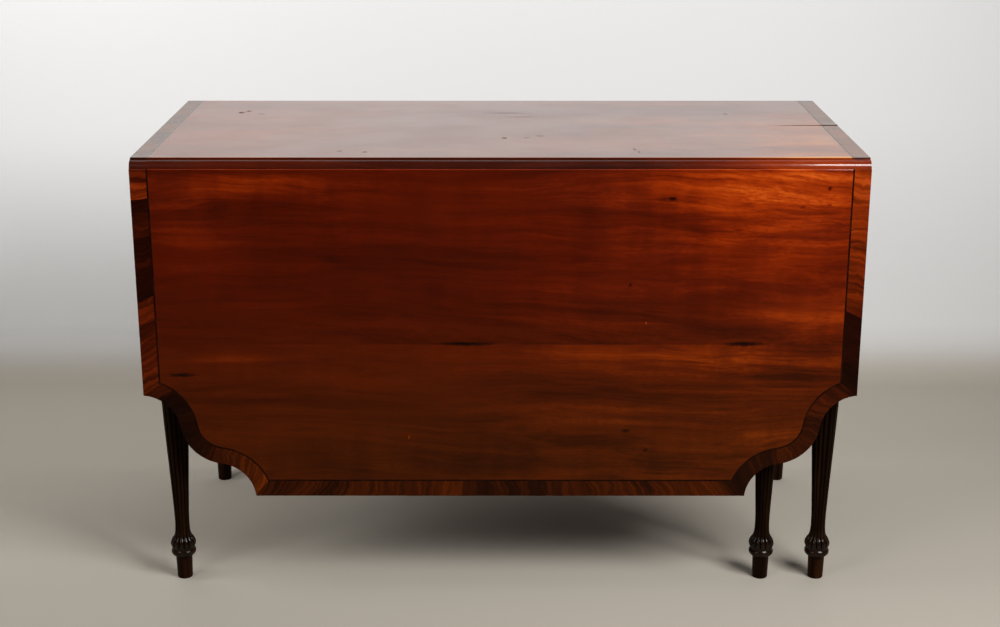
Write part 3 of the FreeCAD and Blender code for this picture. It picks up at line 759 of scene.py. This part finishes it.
top = cut_away("top_board_moulded", top_mesh(), top_hinge_recesses() + [crack()])
smooth_by_angle(top, degrees=25)
top.data.materials.append(figured_mahogany(
    "top_mahogany", FLAT_Z, TOP_EDGE_LIGHT_SHADE_COAT, TOP_FLAT_LIGHT_TINT, base=0.20, roughness=0.20, ior=1.35,
    tone_and_light_patches=TOP_TONE_AND_LIGHT_PATCHES, marks=TOP_MARKS, dulling=0.5))
bare_sides(top, (0.0, 0.0, -1.0))
fit_out(top, "frame", "top_mahogany", "top_board")


# Banding of the top: dark cross-grained veneer glued into the end rebates, with a thin black
# string between it and the field. The crack parts the right-hand band, which has lifted there.
BAND_ARRIS = 0.0006
LIFT = 0.0008
LIFT_LENGTH = 0.024
DIRT_WIDTH = 0.001
PARTING_SHARE = 0.45
STRIPES = 0.48
DARKENING = 0.145
VENEER_TONES = (
    (0.00, (0.0028, 0.0007, 0.0002)), (0.28, (0.0150, 0.0022, 0.0003)), (0.50, (0.0540, 0.0066, 0.0005)),
    (0.74, (0.1500, 0.0180, 0.0012)), (1.00, (0.3200, 0.0500, 0.0040)))
BAND_MELLOW = (hinge_z, top_z, 2.0, 2.0)
FADED_STRING = ((0.35, (0.024, 0.0096, 0.0036)), (0.70, (0.052, 0.0190, 0.0070)))


def veneer(name, browning, ior, coat):
    """Dark veneer with its grain across the band; each piece of it has a tone of its own."""
    material, coords = new_finish(name)
    tree = material.node_tree
    place = split(coords)
    piece_tone = noted(tree, "tone")
    band = vector(X=noted(tree, "across"), Y=noted(tree, "along"))
    grain = warped(band, (22.0, 16.0, 1.0), (0.0, 0.035, 0.0), 4.6)
    broad = stretched(grain, 4.0, 24.0, 2.0, 7.7, MIDDLE)
    streak = stretched(grain, 7.0, 120.0, 4.0, 3.9, WIDE)
    fine = stretched(grain, 30.0, 700.0, 2.0, 1.3, MIDDLE)
    # The dark veneer is nearly plain, the light is striped
    striped = times(streak, piece_tone)
    tone = weighted((broad, 0.16), (striped, STRIPES), (fine, 0.05), (piece_tone, 0.85))
    colour = tint(minus(tone, DARKENING), VENEER_TONES)
    if coat:
        coat = times(spread(place["X"], *THIN_POLISH), coat)
    sheen = spread(streak, 0.2, 0.8, 0.24, 0.30)
    # Browner by height: on the leaf bands this is a painted tint of brown light bounced from the floor
    browned = browner_by_height(colour, place["Z"], browning)
    polish(browned, sheen, fine, relief_depth=0.000001, ior=ior, coat=coat)
    return material


def ebonised(name, tones, ior, coat):
    """Black-stained string, browner where the stain has worn or faded."""
    material, coords = new_finish(name)
    mottle = put(material.node_tree, "ShaderNodeTexNoise", {
        "Vector": coords, "Scale": 60.0, "Detail": 3.0})["Fac"]
    sheen = spread(mottle, *MIDDLE, 0.30, 0.42)
    polish(tint(mottle, tones), sheen, mottle, relief_depth=0.00001, ior=ior, coat=coat)
    return material


def joined(name, meshes):
    """One piece of several meshes, their notes kept."""
    makers = [stood_up(name, mesh) for mesh in meshes]
    with bpy.context.temp_override(active_object=makers[0], selected_editable_objects=makers):
        bpy.ops.object.join()
    return makers[0]


top_veneer = veneer("crossband_rosewood", BAND_MELLOW, ior=1.4, coat=0.36)
top_string = ebonised("top_string", FADED_STRING, ior=1.4, coat=0.44)


def top_band(side, y, tone, lift=0.0):
    """Stretch of banding on one end of the top, rounded over on its outer edge. Its start is
    dark with dirt, and stands up from the ground where the veneer has come unstuck."""
    eased = EASE_SHARE * BAND_ARRIS
    section = [(0.0, -INLAY_DEPTH), (0.0, -BAND_ARRIS), (eased, -eased), (BAND_ARRIS, 0.0),
               (BAND_WIDTH, 0.0), (BAND_WIDTH, -INLAY_DEPTH)]
    stations = [(y[0], lift, 0.0), (y[0] + DIRT_WIDTH, lift, tone), (y[0] + LIFT_LENGTH / 2, lift / 3, tone),
                (y[0] + LIFT_LENGTH, 0.0, tone), (y[1], 0.0, tone)]
    rings = [[(side * (half_length - u), at, top_z + d + rise) for u, d in section]
             for at, rise, shade in stations]
    notes = [[(side + at, u, shade) for u, d in section] for at, rise, shade in stations]
    return skinned("band", rings, notes)


parting = CRACK_WIDTH * PARTING_SHARE
crack_edges = (CRACK_START.y - parting, CRACK_START.y + parting)
top_bands = joined("top_crossbands_laid", [
    top_band(-1, (-hinge_y, hinge_y), tone=0.54),
    top_band(1, (-hinge_y, crack_edges[0]), tone=0.62),
    top_band(1, (crack_edges[1], hinge_y), tone=0.58, lift=LIFT)])
smooth_by_angle(top_bands, degrees=40)
top_bands.data.materials.append(top_veneer)
fit_out(top_bands, "frame", "crossband_rosewood", "top_crossbands")

string_y = (-hinge_y, hinge_y)
string_z = (top_z - INLAY_DEPTH, top_z)
string_x = (field_end, half_length - BAND_WIDTH)
top_strings = joined("top_strings", [
    slab((-string_x[1], -string_x[0]), string_y, string_z),
    slab(string_x, (string_y[0], crack_edges[0]), string_z),
    slab(string_x, (crack_edges[1], string_y[1]), string_z)])
top_strings.data.materials.append(top_string)
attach(top_strings, "frame")


# Leaves: each of two mahogany boards glued edge to edge, with the hollow of the rule joint along
# the hinge side and both free corners sawn to two coves that run into a round lobe.
COVE_RADIUS = 0.062
COVE_OUTSET = 0.005
COVE_RISE = 0.112
LOBE_INSET = 0.130
ARC_STEPS = 18
RULE_GAP = 0.0004
LIP_WIDTH = 0.0026
LIP_WEAR = 0.0009
LIP_STEPS = 6
LEAF_ARRIS = 0.0012
ARRIS_STEPS = 3
LEAF_PLATE_ROOM = 0.0622
LEAF_JOINT_Z = 0.4305

leaf_low, leaf_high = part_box("leaf_board_front")
leaf_face = leaf_low.y
leaf_back = leaf_high.y
free_edge = leaf_low.z
leaf_thickness = leaf_back - leaf_face
field_inset = BAND_WIDTH + STRING_WIDTH


def corner_points(inset):
    """Cove, lobe and cove of one corner: (in from the short edge, in from the free edge)."""
    radius = COVE_RADIUS + inset
    across = LOBE_INSET + COVE_OUTSET
    along = LOBE_INSET - COVE_RISE
    turn = math.atan2(along, across)
    shoulder = math.acos((inset + COVE_OUTSET) / radius)
    cove = []
    for k in range(ARC_STEPS + 1):
        angle = shoulder + (turn - shoulder) * k / ARC_STEPS
        cove.append((radius * math.cos(angle) - COVE_OUTSET, radius * math.sin(angle) + COVE_RISE))
    lobe_radius = math.hypot(across, along) - radius
    lobe = []
    for k in range(1, ARC_STEPS):
        angle = math.pi + turn + (math.pi / 2 - 2 * turn) * k / ARC_STEPS
        lobe.append((LOBE_INSET + lobe_radius * math.cos(angle), LOBE_INSET + lobe_radius * math.sin(angle)))
    return cove + lobe + [(v, u) for u, v in reversed(cove)]


def leaf_outline(inset):
    """Points (x, z) down the left edge, round both corners and up to the right shoulder."""
    corner = corner_points(inset)
    left = [(u - half_length, free_edge + v) for u, v in corner]
    return left + [(-x, z) for x, z in reversed(left)]


def hinge_edge_z(depth):
    """Height of the hinge side, at a depth behind the show face: a worn lip, then the cove."""
    out = leaf_face + depth + hinge_y
    reach = RULE_RADIUS + RULE_GAP
    if depth < LIP_WIDTH:
        return hinge_z - RULE_GAP - LIP_WEAR * abs(2 * depth / LIP_WIDTH - 1) ** 3
    return hinge_z - math.sqrt(max(reach ** 2 - out ** 2, (RULE_GAP + LIP_WEAR) ** 2))


def leaf_ring(inset, depth):
    top = hinge_edge_z(depth)
    side = half_length - inset
    stop = half_length - field_inset
    points = [(-stop, top), (-side, top)] + leaf_outline(inset) + [(side, top), (stop, top)]
    return [(x, leaf_face + depth, z) for x, z in points]


def leaf_mesh():
    reach = RULE_RADIUS + RULE_GAP
    lip_angle = math.asin((RULE_GAP + LIP_WEAR) / reach)
    back_angle = math.pi / 2 + math.asin((leaf_back + hinge_y) / reach)
    rings = [leaf_ring(field_inset, INLAY_DEPTH * k / LIP_STEPS) for k in range(LIP_STEPS + 1)]
    for k in range(LIP_STEPS):
        rings.append(leaf_ring(0.0, INLAY_DEPTH + (LIP_WIDTH - INLAY_DEPTH) * k / LIP_STEPS))
    for k in range(ROUND_STEPS):
        angle = lip_angle + (back_angle - lip_angle) * k / ROUND_STEPS
        depth = -hinge_y - reach * math.cos(angle) - leaf_face
        if depth < leaf_thickness - LEAF_ARRIS:
            rings.append(leaf_ring(0.0, depth))
    for k in range(ARRIS_STEPS + 1):
        angle = math.pi / 2 * k / ARRIS_STEPS
        inset = LEAF_ARRIS * (1 - math.cos(angle))
        rings.append(leaf_ring(inset, leaf_thickness - LEAF_ARRIS * (1 - math.sin(angle))))
    return skinned("leaf", rings)


def leaf_mortises():
    """Beds for the long hinge plates, let into the back."""
    return [slab((x - HINGE_ROOM, x + HINGE_ROOM), (leaf_back - PLATE_THICKNESS, leaf_back + OVERRUN),
                 (hinge_z - LEAF_PLATE_ROOM, hinge_z)) for x in (-HINGE_X, HINGE_X)]


def to_rear(mesh):
    """Turns a front piece's mesh half round to the rear."""
    mesh.transform(Matrix.Rotation(math.pi, 4, "Z"))


# The lip is painted a shade lighter, as stain worn off and as a painted glint, and its polish is rubbed to a
# heavy coat
WORN_LIP_AND_GLINT = ((hinge_z - 0.0024, 0.0, 0.0), (hinge_z - 0.0012, 0.20, 0.80))
# Painted tint of brown light bounced up from the floor: a hanging leaf is browner towards its free edge
LEAF_BOUNCE_TINT = (0.20, 0.58, 1.75, 0.84)
LEAF_FLAMES = (
    (0.44, 0.670, 0.40, 0.110, 0.90), (-0.42, 0.670, 0.30, 0.090, 0.70), (0.44, 0.400, 0.26, 0.060, 0.45),
    (0.36, 0.530, 0.26, 0.080, -0.25))
# Spots where the front leaf's tone is lifted or lowered: partly the wood's own tone, partly painted light and
# shade, brighter towards the upper right and darker low in the middle
LEAF_TONE_AND_LIGHT_PATCHES = (
    (0.42, 0.680, 0.34, 0.080, 0.44), (0.44, 0.702, 0.22, 0.012, 0.14), (0.48, 0.600, 0.28, 0.100, 0.16),
    (0.50, 0.485, 0.20, 0.050, 0.22), (0.10, 0.620, 0.20, 0.060, -0.06), (0.24, 0.664, 0.10, 0.016, -0.12),
    (0.34, 0.412, 0.30, 0.020, 0.16), (0.46, 0.378, 0.18, 0.014, -0.14), (0.46, 0.350, 0.16, 0.016, 0.10),
    (-0.48, 0.600, 0.14, 0.080, 0.14), (-0.40, 0.690, 0.22, 0.026, 0.20), (-0.14, 0.560, 0.34, 0.090, -0.06),
    (0.02, 0.500, 0.28, 0.060, -0.05), (-0.44, 0.410, 0.12, 0.018, 0.12), (0.16, 0.418, 0.16, 0.016, 0.10),
    (-0.05, 0.225, 0.60, 0.090, -0.15), (0.24, 0.500, 0.14, 0.050, -0.08), (0.42, 0.385, 0.18, 0.050, 0.08),
    (-0.30, 0.250, 0.14, 0.040, -0.06), (0.08, 0.195, 0.14, 0.030, 0.08))
LEAF_MARKS = (
    (-0.052, 0.4318, 0.062, 0.0050, -0.40), (0.388, 0.4315, 0.042, 0.0060, -0.45),
    (-0.508, 0.379, 0.032, 0.005, -0.40), (0.268, 0.668, 0.009, 0.0036, -0.42),
    (0.258, 0.668, 0.030, 0.0030, -0.18), (0.509, 0.684, 0.005, 0.0050, -0.50),
    (0.511, 0.658, 0.004, 0.003, -0.35), (0.205, 0.529, 0.003, 0.0030, -0.40),
    (0.470, 0.655, 0.006, 0.0034, -0.20), (0.202, 0.284, 0.010, 0.0040, -0.30),
    (0.234, 0.251, 0.007, 0.004, -0.25), (-0.147, 0.273, 0.0012, 0.0055, 0.55),
    (0.232, 0.466, 0.0018, 0.0030, 0.50))

leaf_finish = {"edge": WORN_LIP_AND_GLINT, "browning": LEAF_BOUNCE_TINT, "roughness": 0.34, "ior": 1.15, "joint": LEAF_JOINT_Z}
leaf_boards = {
    "front": figured_mahogany("leaf_mahogany_front", FLAT_Y, base=0.195, flames=LEAF_FLAMES,
                              tone_and_light_patches=LEAF_TONE_AND_LIGHT_PATCHES, marks=LEAF_MARKS, **leaf_finish),
    "rear": figured_mahogany("leaf_mahogany_rear", FLAT_Y, base=0.24, **leaf_finish),
}
for end, material in leaf_boards.items():
    leaf = cut_away("leaf_board_" + end + "_shaped", leaf_mesh(), leaf_mortises())
    if end == "rear":
        to_rear(leaf.data)
    smooth_by_angle(leaf, degrees=25)
    leaf.data.materials.append(material)
    bare_sides(leaf, (0.0, 1.0 if end == "front" else -1.0, 0.0))
    fit_out(leaf, end + "_leaf", "top_mahogany", "leaf_board_" + end)


# Banding of the leaves: the same dark veneer laid across the three free edges, pieced and mitred
# where the shaped corners start, with the black string inside it.
corner_count = len(corner_points(0.0))
# Stations along the outline, from the hinge end on the left; a whole number is one of its points
LEFT_SHOULDER = 1.0
LEFT_FOOT = float(corner_count)
RIGHT_FOOT = LEFT_FOOT + 1.0
RIGHT_SHOULDER = 2.0 * corner_count
RIGHT_HINGE = RIGHT_SHOULDER + 1.0


def edge_line(inset, depth):
    """Line round the free edges at an inset, from hinge side to hinge side."""
    side = half_length - inset
    top = hinge_edge_z(depth)
    return [(-side, top)] + leaf_outline(inset) + [(side, top)]


def between(line, station):
    """Point on a line at a station."""
    index = min(int(station), len(line) - 2)
    return Vector(line[index]).lerp(Vector(line[index + 1]), station - index)


def length_to(station):
    """Way along the middle of the banding to a station."""
    line = edge_line(BAND_WIDTH / 2, 0.0)
    points = line[:int(station) + 1] + [between(line, station)]
    return sum(math.dist(a, b) for a, b in zip(points, points[1:]))


def strip(inner, outer, arris, start, stop, tones):
    """Strip let in between two insets, from one station of the outline to another."""
    section = [(outer, INLAY_DEPTH), (inner, INLAY_DEPTH), (inner, 0.0)]
    if arris:
        eased = EASE_SHARE * arris
        section += [(outer + arris, 0.0), (outer + eased, eased), (outer, arris)]
    else:
        section.append((outer, 0.0))
    lines = [edge_line(inset, depth) for inset, depth in section]
    stations = [start] + [float(k) for k in range(math.floor(start) + 1, math.ceil(stop))] + [stop]
    rings = []
    notes = []
    for station in stations:
        points = [between(line, station) for line in lines]
        depths = [leaf_face + depth for inset, depth in section]
        rings.append([(point.x, depth, point.y) for point, depth in zip(points, depths)])
        share = (station - start) / (stop - start)
        tone = tones[0] + (tones[1] - tones[0]) * share
        notes.append([(length_to(station), inset, tone) for inset, depth in section])
    return skinned("strip", rings, notes)


# Pieces of veneer round the leaf: the stations they run between and their tone at each end
BAND_PIECES = (
    (0.0, 0.058, (0.57, 0.53)), (0.058, 0.130, (0.70, 0.72)), (0.130, 0.30, (0.34, 0.38)),
    (0.30, 0.44, (0.30, 0.32)), (0.44, 0.58, (0.20, 0.18)), (0.58, 0.69, (0.46, 0.52)),
    (0.69, 0.76, (0.36, 0.36)), (0.76, LEFT_SHOULDER, (0.48, 0.58)),
    (LEFT_SHOULDER, LEFT_SHOULDER + 5, (0.48, 0.40)), (LEFT_SHOULDER + 5, LEFT_SHOULDER + 22, (0.22, 0.16)),
    (LEFT_SHOULDER + 22, LEFT_SHOULDER + 33, (0.26, 0.38)), (LEFT_SHOULDER + 33, LEFT_FOOT, (0.50, 0.60)),
    (LEFT_FOOT, LEFT_FOOT + 0.42, (0.36, 0.42)), (LEFT_FOOT + 0.42, LEFT_FOOT + 0.62, (0.28, 0.30)),
    (LEFT_FOOT + 0.62, RIGHT_FOOT - 0.035, (0.34, 0.42)), (RIGHT_FOOT - 0.035, RIGHT_FOOT, (0.34, 0.24)),
    (RIGHT_FOOT, RIGHT_FOOT + 16, (0.20, 0.32)), (RIGHT_FOOT + 16, RIGHT_SHOULDER, (0.39, 0.37)),
    (RIGHT_SHOULDER, RIGHT_SHOULDER + 0.35, (0.17, 0.20)),
    (RIGHT_SHOULDER + 0.35, RIGHT_SHOULDER + 0.69, (0.50, 0.60)),
    (RIGHT_SHOULDER + 0.69, RIGHT_HINGE, (0.65, 0.73)))

# Painted tint of brown light bounced from the floor: the leaf bands are browner towards the free edge
LEAF_BAND_BOUNCE_TINT = (0.20, 0.45, 1.3, 0.85)
BLACK_STRING = ((0.35, (0.0045, 0.0012, 0.0004)), (0.70, (0.016, 0.0036, 0.0010)))
leaf_veneer = veneer("leaf_crossbanding", LEAF_BAND_BOUNCE_TINT, ior=1.13, coat=0.0)
leaf_string = ebonised("leaf_string", BLACK_STRING, ior=1.12, coat=0.0)
for end in ("front", "rear"):
    bands = joined("leaf_crossbands_" + end + "_laid", [
        strip(BAND_WIDTH, 0.0, BAND_ARRIS, start, stop, tones) for start, stop, tones in BAND_PIECES])
    string = stood_up("leaf_string_" + end, strip(
        field_inset, BAND_WIDTH, arris=0.0, start=0.0, stop=RIGHT_HINGE, tones=(0.0, 0.0)))
    if end == "rear":
        to_rear(bands.data)
        to_rear(string.data)
    smooth_by_angle(bands, degrees=40)
    bands.data.materials.append(leaf_veneer)
    string.data.materials.append(leaf_string)
    fit_out(bands, end + "_leaf", "crossband_rosewood", "leaf_crossbands_" + end)
    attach(string, end + "_leaf")


# Hinges: wrought iron table hinges, one leaf long and one short, filed and blackened, with a
# steel pin through the barrel; the long pin of each knuckle joint is the same steel.
HINGE_ARRIS = 0.0003


def forged(name, dark, light, metallic, roughness):
    """Iron or steel with dark and light scale in clouds, and fine pits."""
    material, coords = new_finish(name)
    tree = material.node_tree
    cloud = put(tree, "ShaderNodeTexNoise", {"Vector": coords, "Scale": 90.0, "Detail": 4.0})["Fac"]
    pits = put(tree, "ShaderNodeTexNoise", {"Vector": coords, "Scale": 700.0, "Detail": 2.0})["Fac"]
    colour = tint(cloud, ((0.35, dark), (0.68, light)))
    bump = put(tree, "ShaderNodeBump", {"Height": pits, "Strength": 0.5, "Distance": 0.0002})[0]
    shader = put(tree, "ShaderNodeBsdfPrincipled", {
        "Base Color": colour, "Metallic": metallic, "Normal": bump,
        "Roughness": spread(cloud, *MIDDLE, roughness - 0.08, roughness + 0.12)})[0]
    put(tree, "ShaderNodeOutputMaterial", {"Surface": shader})
    return material


iron = forged("hinge_iron", (0.030, 0.024, 0.020), (0.110, 0.085, 0.068), metallic=0.85, roughness=0.52)
steel = forged("pin_steel", (0.180, 0.165, 0.150), (0.380, 0.360, 0.330), metallic=1.0, roughness=0.36)
hinge_pieces = []
for end in ("front", "rear"):
    hinge_pieces.append(("hinge_top_plates_" + end, "frame", "hinge_iron", iron))
    hinge_pieces.append(("hinge_leaf_plates_" + end, end + "_leaf", "hinge_iron", iron))
    hinge_pieces.append(("hinge_pins_" + end, "frame", "pin_steel", steel))
    hinge_pieces.append(("knuckle_pin_" + end, "frame", "pin_steel", steel))
dress_copies(hinge_pieces, HINGE_ARRIS)


# Screws: hand-filed iron, slotted and let in flush. Three hold each hinge plate, one at each end
# of a brace draws down the top, and two go through each inner rail into the knuckled rail.
HEAD_DIAMETER = 0.0075
HEAD_DEPTH = 0.0024
HEAD_PROUD = 0.0002
SLOT_WIDTH = 0.0011
SLOT_DEPTH = 0.0009
HEAD_POINTS = 24
SLOT_SEED = 7


def float_output(outputs):
    """The output in use, of a node that has one for each kind of value."""
    return next(socket for socket in outputs if socket.enabled)


def screw_tree():
    """A slotted head at each point, facing as the point says, its slot left at any angle."""
    tree, sizes = new_tree("slotted_screws", {
        "Diameter": "Float", "Depth": "Float", "Slot Width": "Float", "Slot Depth": "Float", "Proud": "Float",
        "Points Round": "Int", "Seed": "Int", "Metal": "Material"})
    disc = put(tree, "GeometryNodeMeshCylinder", {
        "Vertices": sizes["Points Round"], "Radius": reckon("DIVIDE", sizes["Diameter"], 2.0),
        "Depth": sizes["Depth"]})["Mesh"]
    half = reckon("DIVIDE", sizes["Depth"], 2.0)
    seat = vector(Z=minus(sizes["Proud"], half))
    head = put(tree, "GeometryNodeTransform", {"Geometry": disc, "Translation": seat})[0]
    bar_size = vector(X=times(sizes["Diameter"], 2.0), Y=sizes["Slot Width"],
                      Z=times(sizes["Slot Depth"], 2.0))
    bar = put(tree, "GeometryNodeMeshCube", {"Size": bar_size})["Mesh"]
    cutter = put(tree, "GeometryNodeTransform", {
        "Geometry": bar, "Translation": vector(Z=sizes["Proud"])})[0]
    slotted = put(tree, "GeometryNodeMeshBoolean", {
        "Mesh 1": head, "Mesh 2": cutter}, operation="DIFFERENCE")["Mesh"]
    turn = put(tree, "FunctionNodeRandomValue", {"Max": math.pi, "Seed": sizes["Seed"]}, data_type="FLOAT")
    spun = put(tree, "FunctionNodeEulerToRotation", {0: vector(Z=float_output(turn))})[0]
    facing = put(tree, "GeometryNodeInputNamedAttribute", {
        "Name": "facing"}, data_type="FLOAT_VECTOR")["Attribute"]
    aimed = put(tree, "FunctionNodeAlignRotationToVector", {"Rotation": spun, "Vector": facing}, axis="Z")[0]
    screws = put(tree, "GeometryNodeInstanceOnPoints", {
        "Points": sizes["Geometry"], "Instance": slotted, "Rotation": aimed})[0]
    end_tree(tree, screws, sizes["Metal"])
    return tree


def screw_points(places):
    """Loose points, each with the way its screw's head faces."""
    mesh = bpy.data.meshes.new("screw_points")
    mesh.from_pydata([place for place, facing in places], [], [])
    facings = mesh.attributes.new("facing", "FLOAT_VECTOR", "POINT")
    for item, (place, facing) in zip(facings.data, places):
        item.vector = facing
    return mesh


def half_turned(places):
    """The same places and facings at the other side of the table."""
    return [((-x, -y, z), (-fx, -fy, fz)) for (x, y, z), (fx, fy, fz) in places]


DOWN = (0.0, 0.0, -1.0)
INWARD = (0.0, 1.0, 0.0)
TOP_PLATE_SCREWS = ((-0.011, 0.024), (0.011, 0.024), (0.0, 0.013))
LEAF_PLATE_SCREWS = ((-0.010, 0.050), (0.010, 0.040), (-0.004, 0.020))
BRACE_SCREW_Y = 0.110
RAIL_SCREWS_X = (-0.449, -0.119)

brace_low, brace_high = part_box("cross_brace_right")
rail_low, rail_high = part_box("inner_rail_front")
plate_screws = []
leaf_screws = []
for x in (-HINGE_X, HINGE_X):
    plate_screws += [((x + dx, in_by - hinge_y, underside), DOWN) for dx, in_by in TOP_PLATE_SCREWS]
    leaf_screws += [((x + dx, leaf_back, hinge_z - down), INWARD) for dx, down in LEAF_PLATE_SCREWS]
rail_screws = [((x, rail_high.y, (rail_low.z + rail_high.z) / 2), INWARD) for x in RAIL_SCREWS_X]
brace_x = (brace_low.x + brace_high.x) / 2
brace_screws = [((brace_x, y, brace_low.z), DOWN) for y in (-BRACE_SCREW_Y, BRACE_SCREW_Y)]
frame_screws = plate_screws + rail_screws + brace_screws
screw_places = {"frame": frame_screws + half_turned(frame_screws), "front_leaf": leaf_screws,
                "rear_leaf": half_turned(leaf_screws)}
screw_iron = forged("screw_iron", (0.110, 0.092, 0.076), (0.300, 0.262, 0.220), metallic=0.9, roughness=0.42)
slotted_screws = screw_tree()
for body, places in screw_places.items():
    screws = grown("screws_" + body, screw_points(places), slotted_screws, {
        "Diameter": HEAD_DIAMETER, "Depth": HEAD_DEPTH, "Slot Width": SLOT_WIDTH, "Slot Depth": SLOT_DEPTH,
        "Proud": HEAD_PROUD, "Points Round": HEAD_POINTS, "Seed": SLOT_SEED, "Metal": screw_iron})
    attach(screws, body)


# Room: a plain pale floor that curves up into a plain pale wall behind the table, as one sweep of
# painted board, seen only from its front. Soft boxes light it from the right, the left and above;
# the wall stands far enough back for the rear leaf to be raised.
FLOOR_SIZE = 9.0
WALL_Y = 0.84
WALL_HEIGHT = 3.2
SWEEP_RADIUS = 0.10
SWEEP_STEPS = 12
SWEEP_TONES = ((0.0, (0.37, 0.335, 0.285)), (1.0, (0.76, 0.76, 0.76)))
SWEEP_BLEND = (0.0, 0.12)


def sweep_mesh():
    bend = WALL_Y - SWEEP_RADIUS
    path = [(-FLOOR_SIZE / 2, 0.0), (bend, 0.0)]
    for k in range(1, SWEEP_STEPS + 1):
        angle = math.pi / 2 * k / SWEEP_STEPS
        path.append((bend + SWEEP_RADIUS * math.sin(angle), SWEEP_RADIUS * (1 - math.cos(angle))))
    path.append((WALL_Y, WALL_HEIGHT))
    sheet = bmesh.new()
    left = [sheet.verts.new((-FLOOR_SIZE / 2, y, z)) for y, z in path]
    right = [sheet.verts.new((FLOOR_SIZE / 2, y, z)) for y, z in path]
    for k in range(1, len(path)):
        sheet.faces.new((left[k - 1], right[k - 1], right[k], left[k]))
    mesh = to_mesh("sweep", sheet)
    mesh.shade_smooth()
    return mesh


def sweep_finish():
    """Matt pale paint, a shade darker on the floor; nothing is seen through it from the front."""
    material, coords = new_finish("pale_sweep")
    tree = material.node_tree
    colour = tint(spread(split(coords)["Z"], *SWEEP_BLEND), SWEEP_TONES)
    paint = put(tree, "ShaderNodeBsdfDiffuse", {"Color": colour})[0]
    clear = put(tree, "ShaderNodeBsdfTransparent")[0]
    from_behind = put(tree, "ShaderNodeNewGeometry")["Backfacing"]
    shader = put(tree, "ShaderNodeMixShader", {0: from_behind, 1: paint, 2: clear})[0]
    put(tree, "ShaderNodeOutputMaterial", {"Surface": shader})
    return material


sweep = stood_up("sweep", sweep_mesh())
sweep.data.materials.append(sweep_finish())

LEAF_MIDDLE = Vector((0.0, -0.25, 0.50))
WALL_MIDDLE = Vector((0.0, WALL_Y, 1.00))
WALL_LEFT = Vector((-0.8, WALL_Y, 0.70))
# Name, place, aim, size, spread in degrees and power in watts
SOFT_BOXES = (
    ("key_right", (1.35, -1.45, 1.75), LEAF_MIDDLE, (1.0, 1.0), 130, 38.0),
    ("fill_left", (-1.9, -2.1, 1.9), LEAF_MIDDLE, (1.2, 1.2), 140, 14.0),
    ("strip", (0.0, 0.36, 2.30), WALL_MIDDLE, (2.2, 0.25), 180, 9.1),
    ("wash_left", (-1.6, -0.30, 2.00), WALL_LEFT, (0.8, 0.8), 120, 10.5),
)
for box_name, place, aim, size, spread_degrees, power in SOFT_BOXES:
    lamp = bpy.data.lights.new(box_name, "AREA")
    lamp.shape = "RECTANGLE"
    lamp.size, lamp.size_y = size
    lamp.spread = math.radians(spread_degrees)
    lamp.energy = power
    box = stood_up(box_name, lamp)
    box.location = place
    box.rotation_mode = "QUATERNION"
    box.rotation_quaternion = (aim - Vector(place)).to_track_quat("-Z", "Y")
    box.visible_camera = False

AMBIENT = 0.05
AMBIENT_COLOUR = (1.0, 0.99, 0.97, 1.0)
world = bpy.data.worlds.new("room")
world.use_nodes = True
scene.world = world
backing = world.node_tree.nodes["Background"]
backing.inputs["Color"].default_value = AMBIENT_COLOUR
backing.inputs["Strength"].default_value = AMBIENT

scene.view_settings.view_transform = "Standard"


# Camera: stands 2.5 m in front of the leaf at about chest height and looks a little down on the
# top. Its place was worked out from the corners of the top and the leaf and from the feet.
CAMERA_PLACE = (0.002, -2.807, 1.263)
CAMERA_TILT = math.radians(17.10)
CAMERA_TURN = math.radians(0.05)
LENS = 60.45
SENSOR_WIDTH = 36.0
camera_data = bpy.data.cameras.new("camera")
camera_data.lens = LENS
camera_data.sensor_width = SENSOR_WIDTH
camera = stood_up("camera", camera_data)
camera.location = CAMERA_PLACE
camera.rotation_euler = (math.pi / 2 - CAMERA_TILT, 0.0, CAMERA_TURN)
scene.camera = camera

bpy.context.view_layer.update()
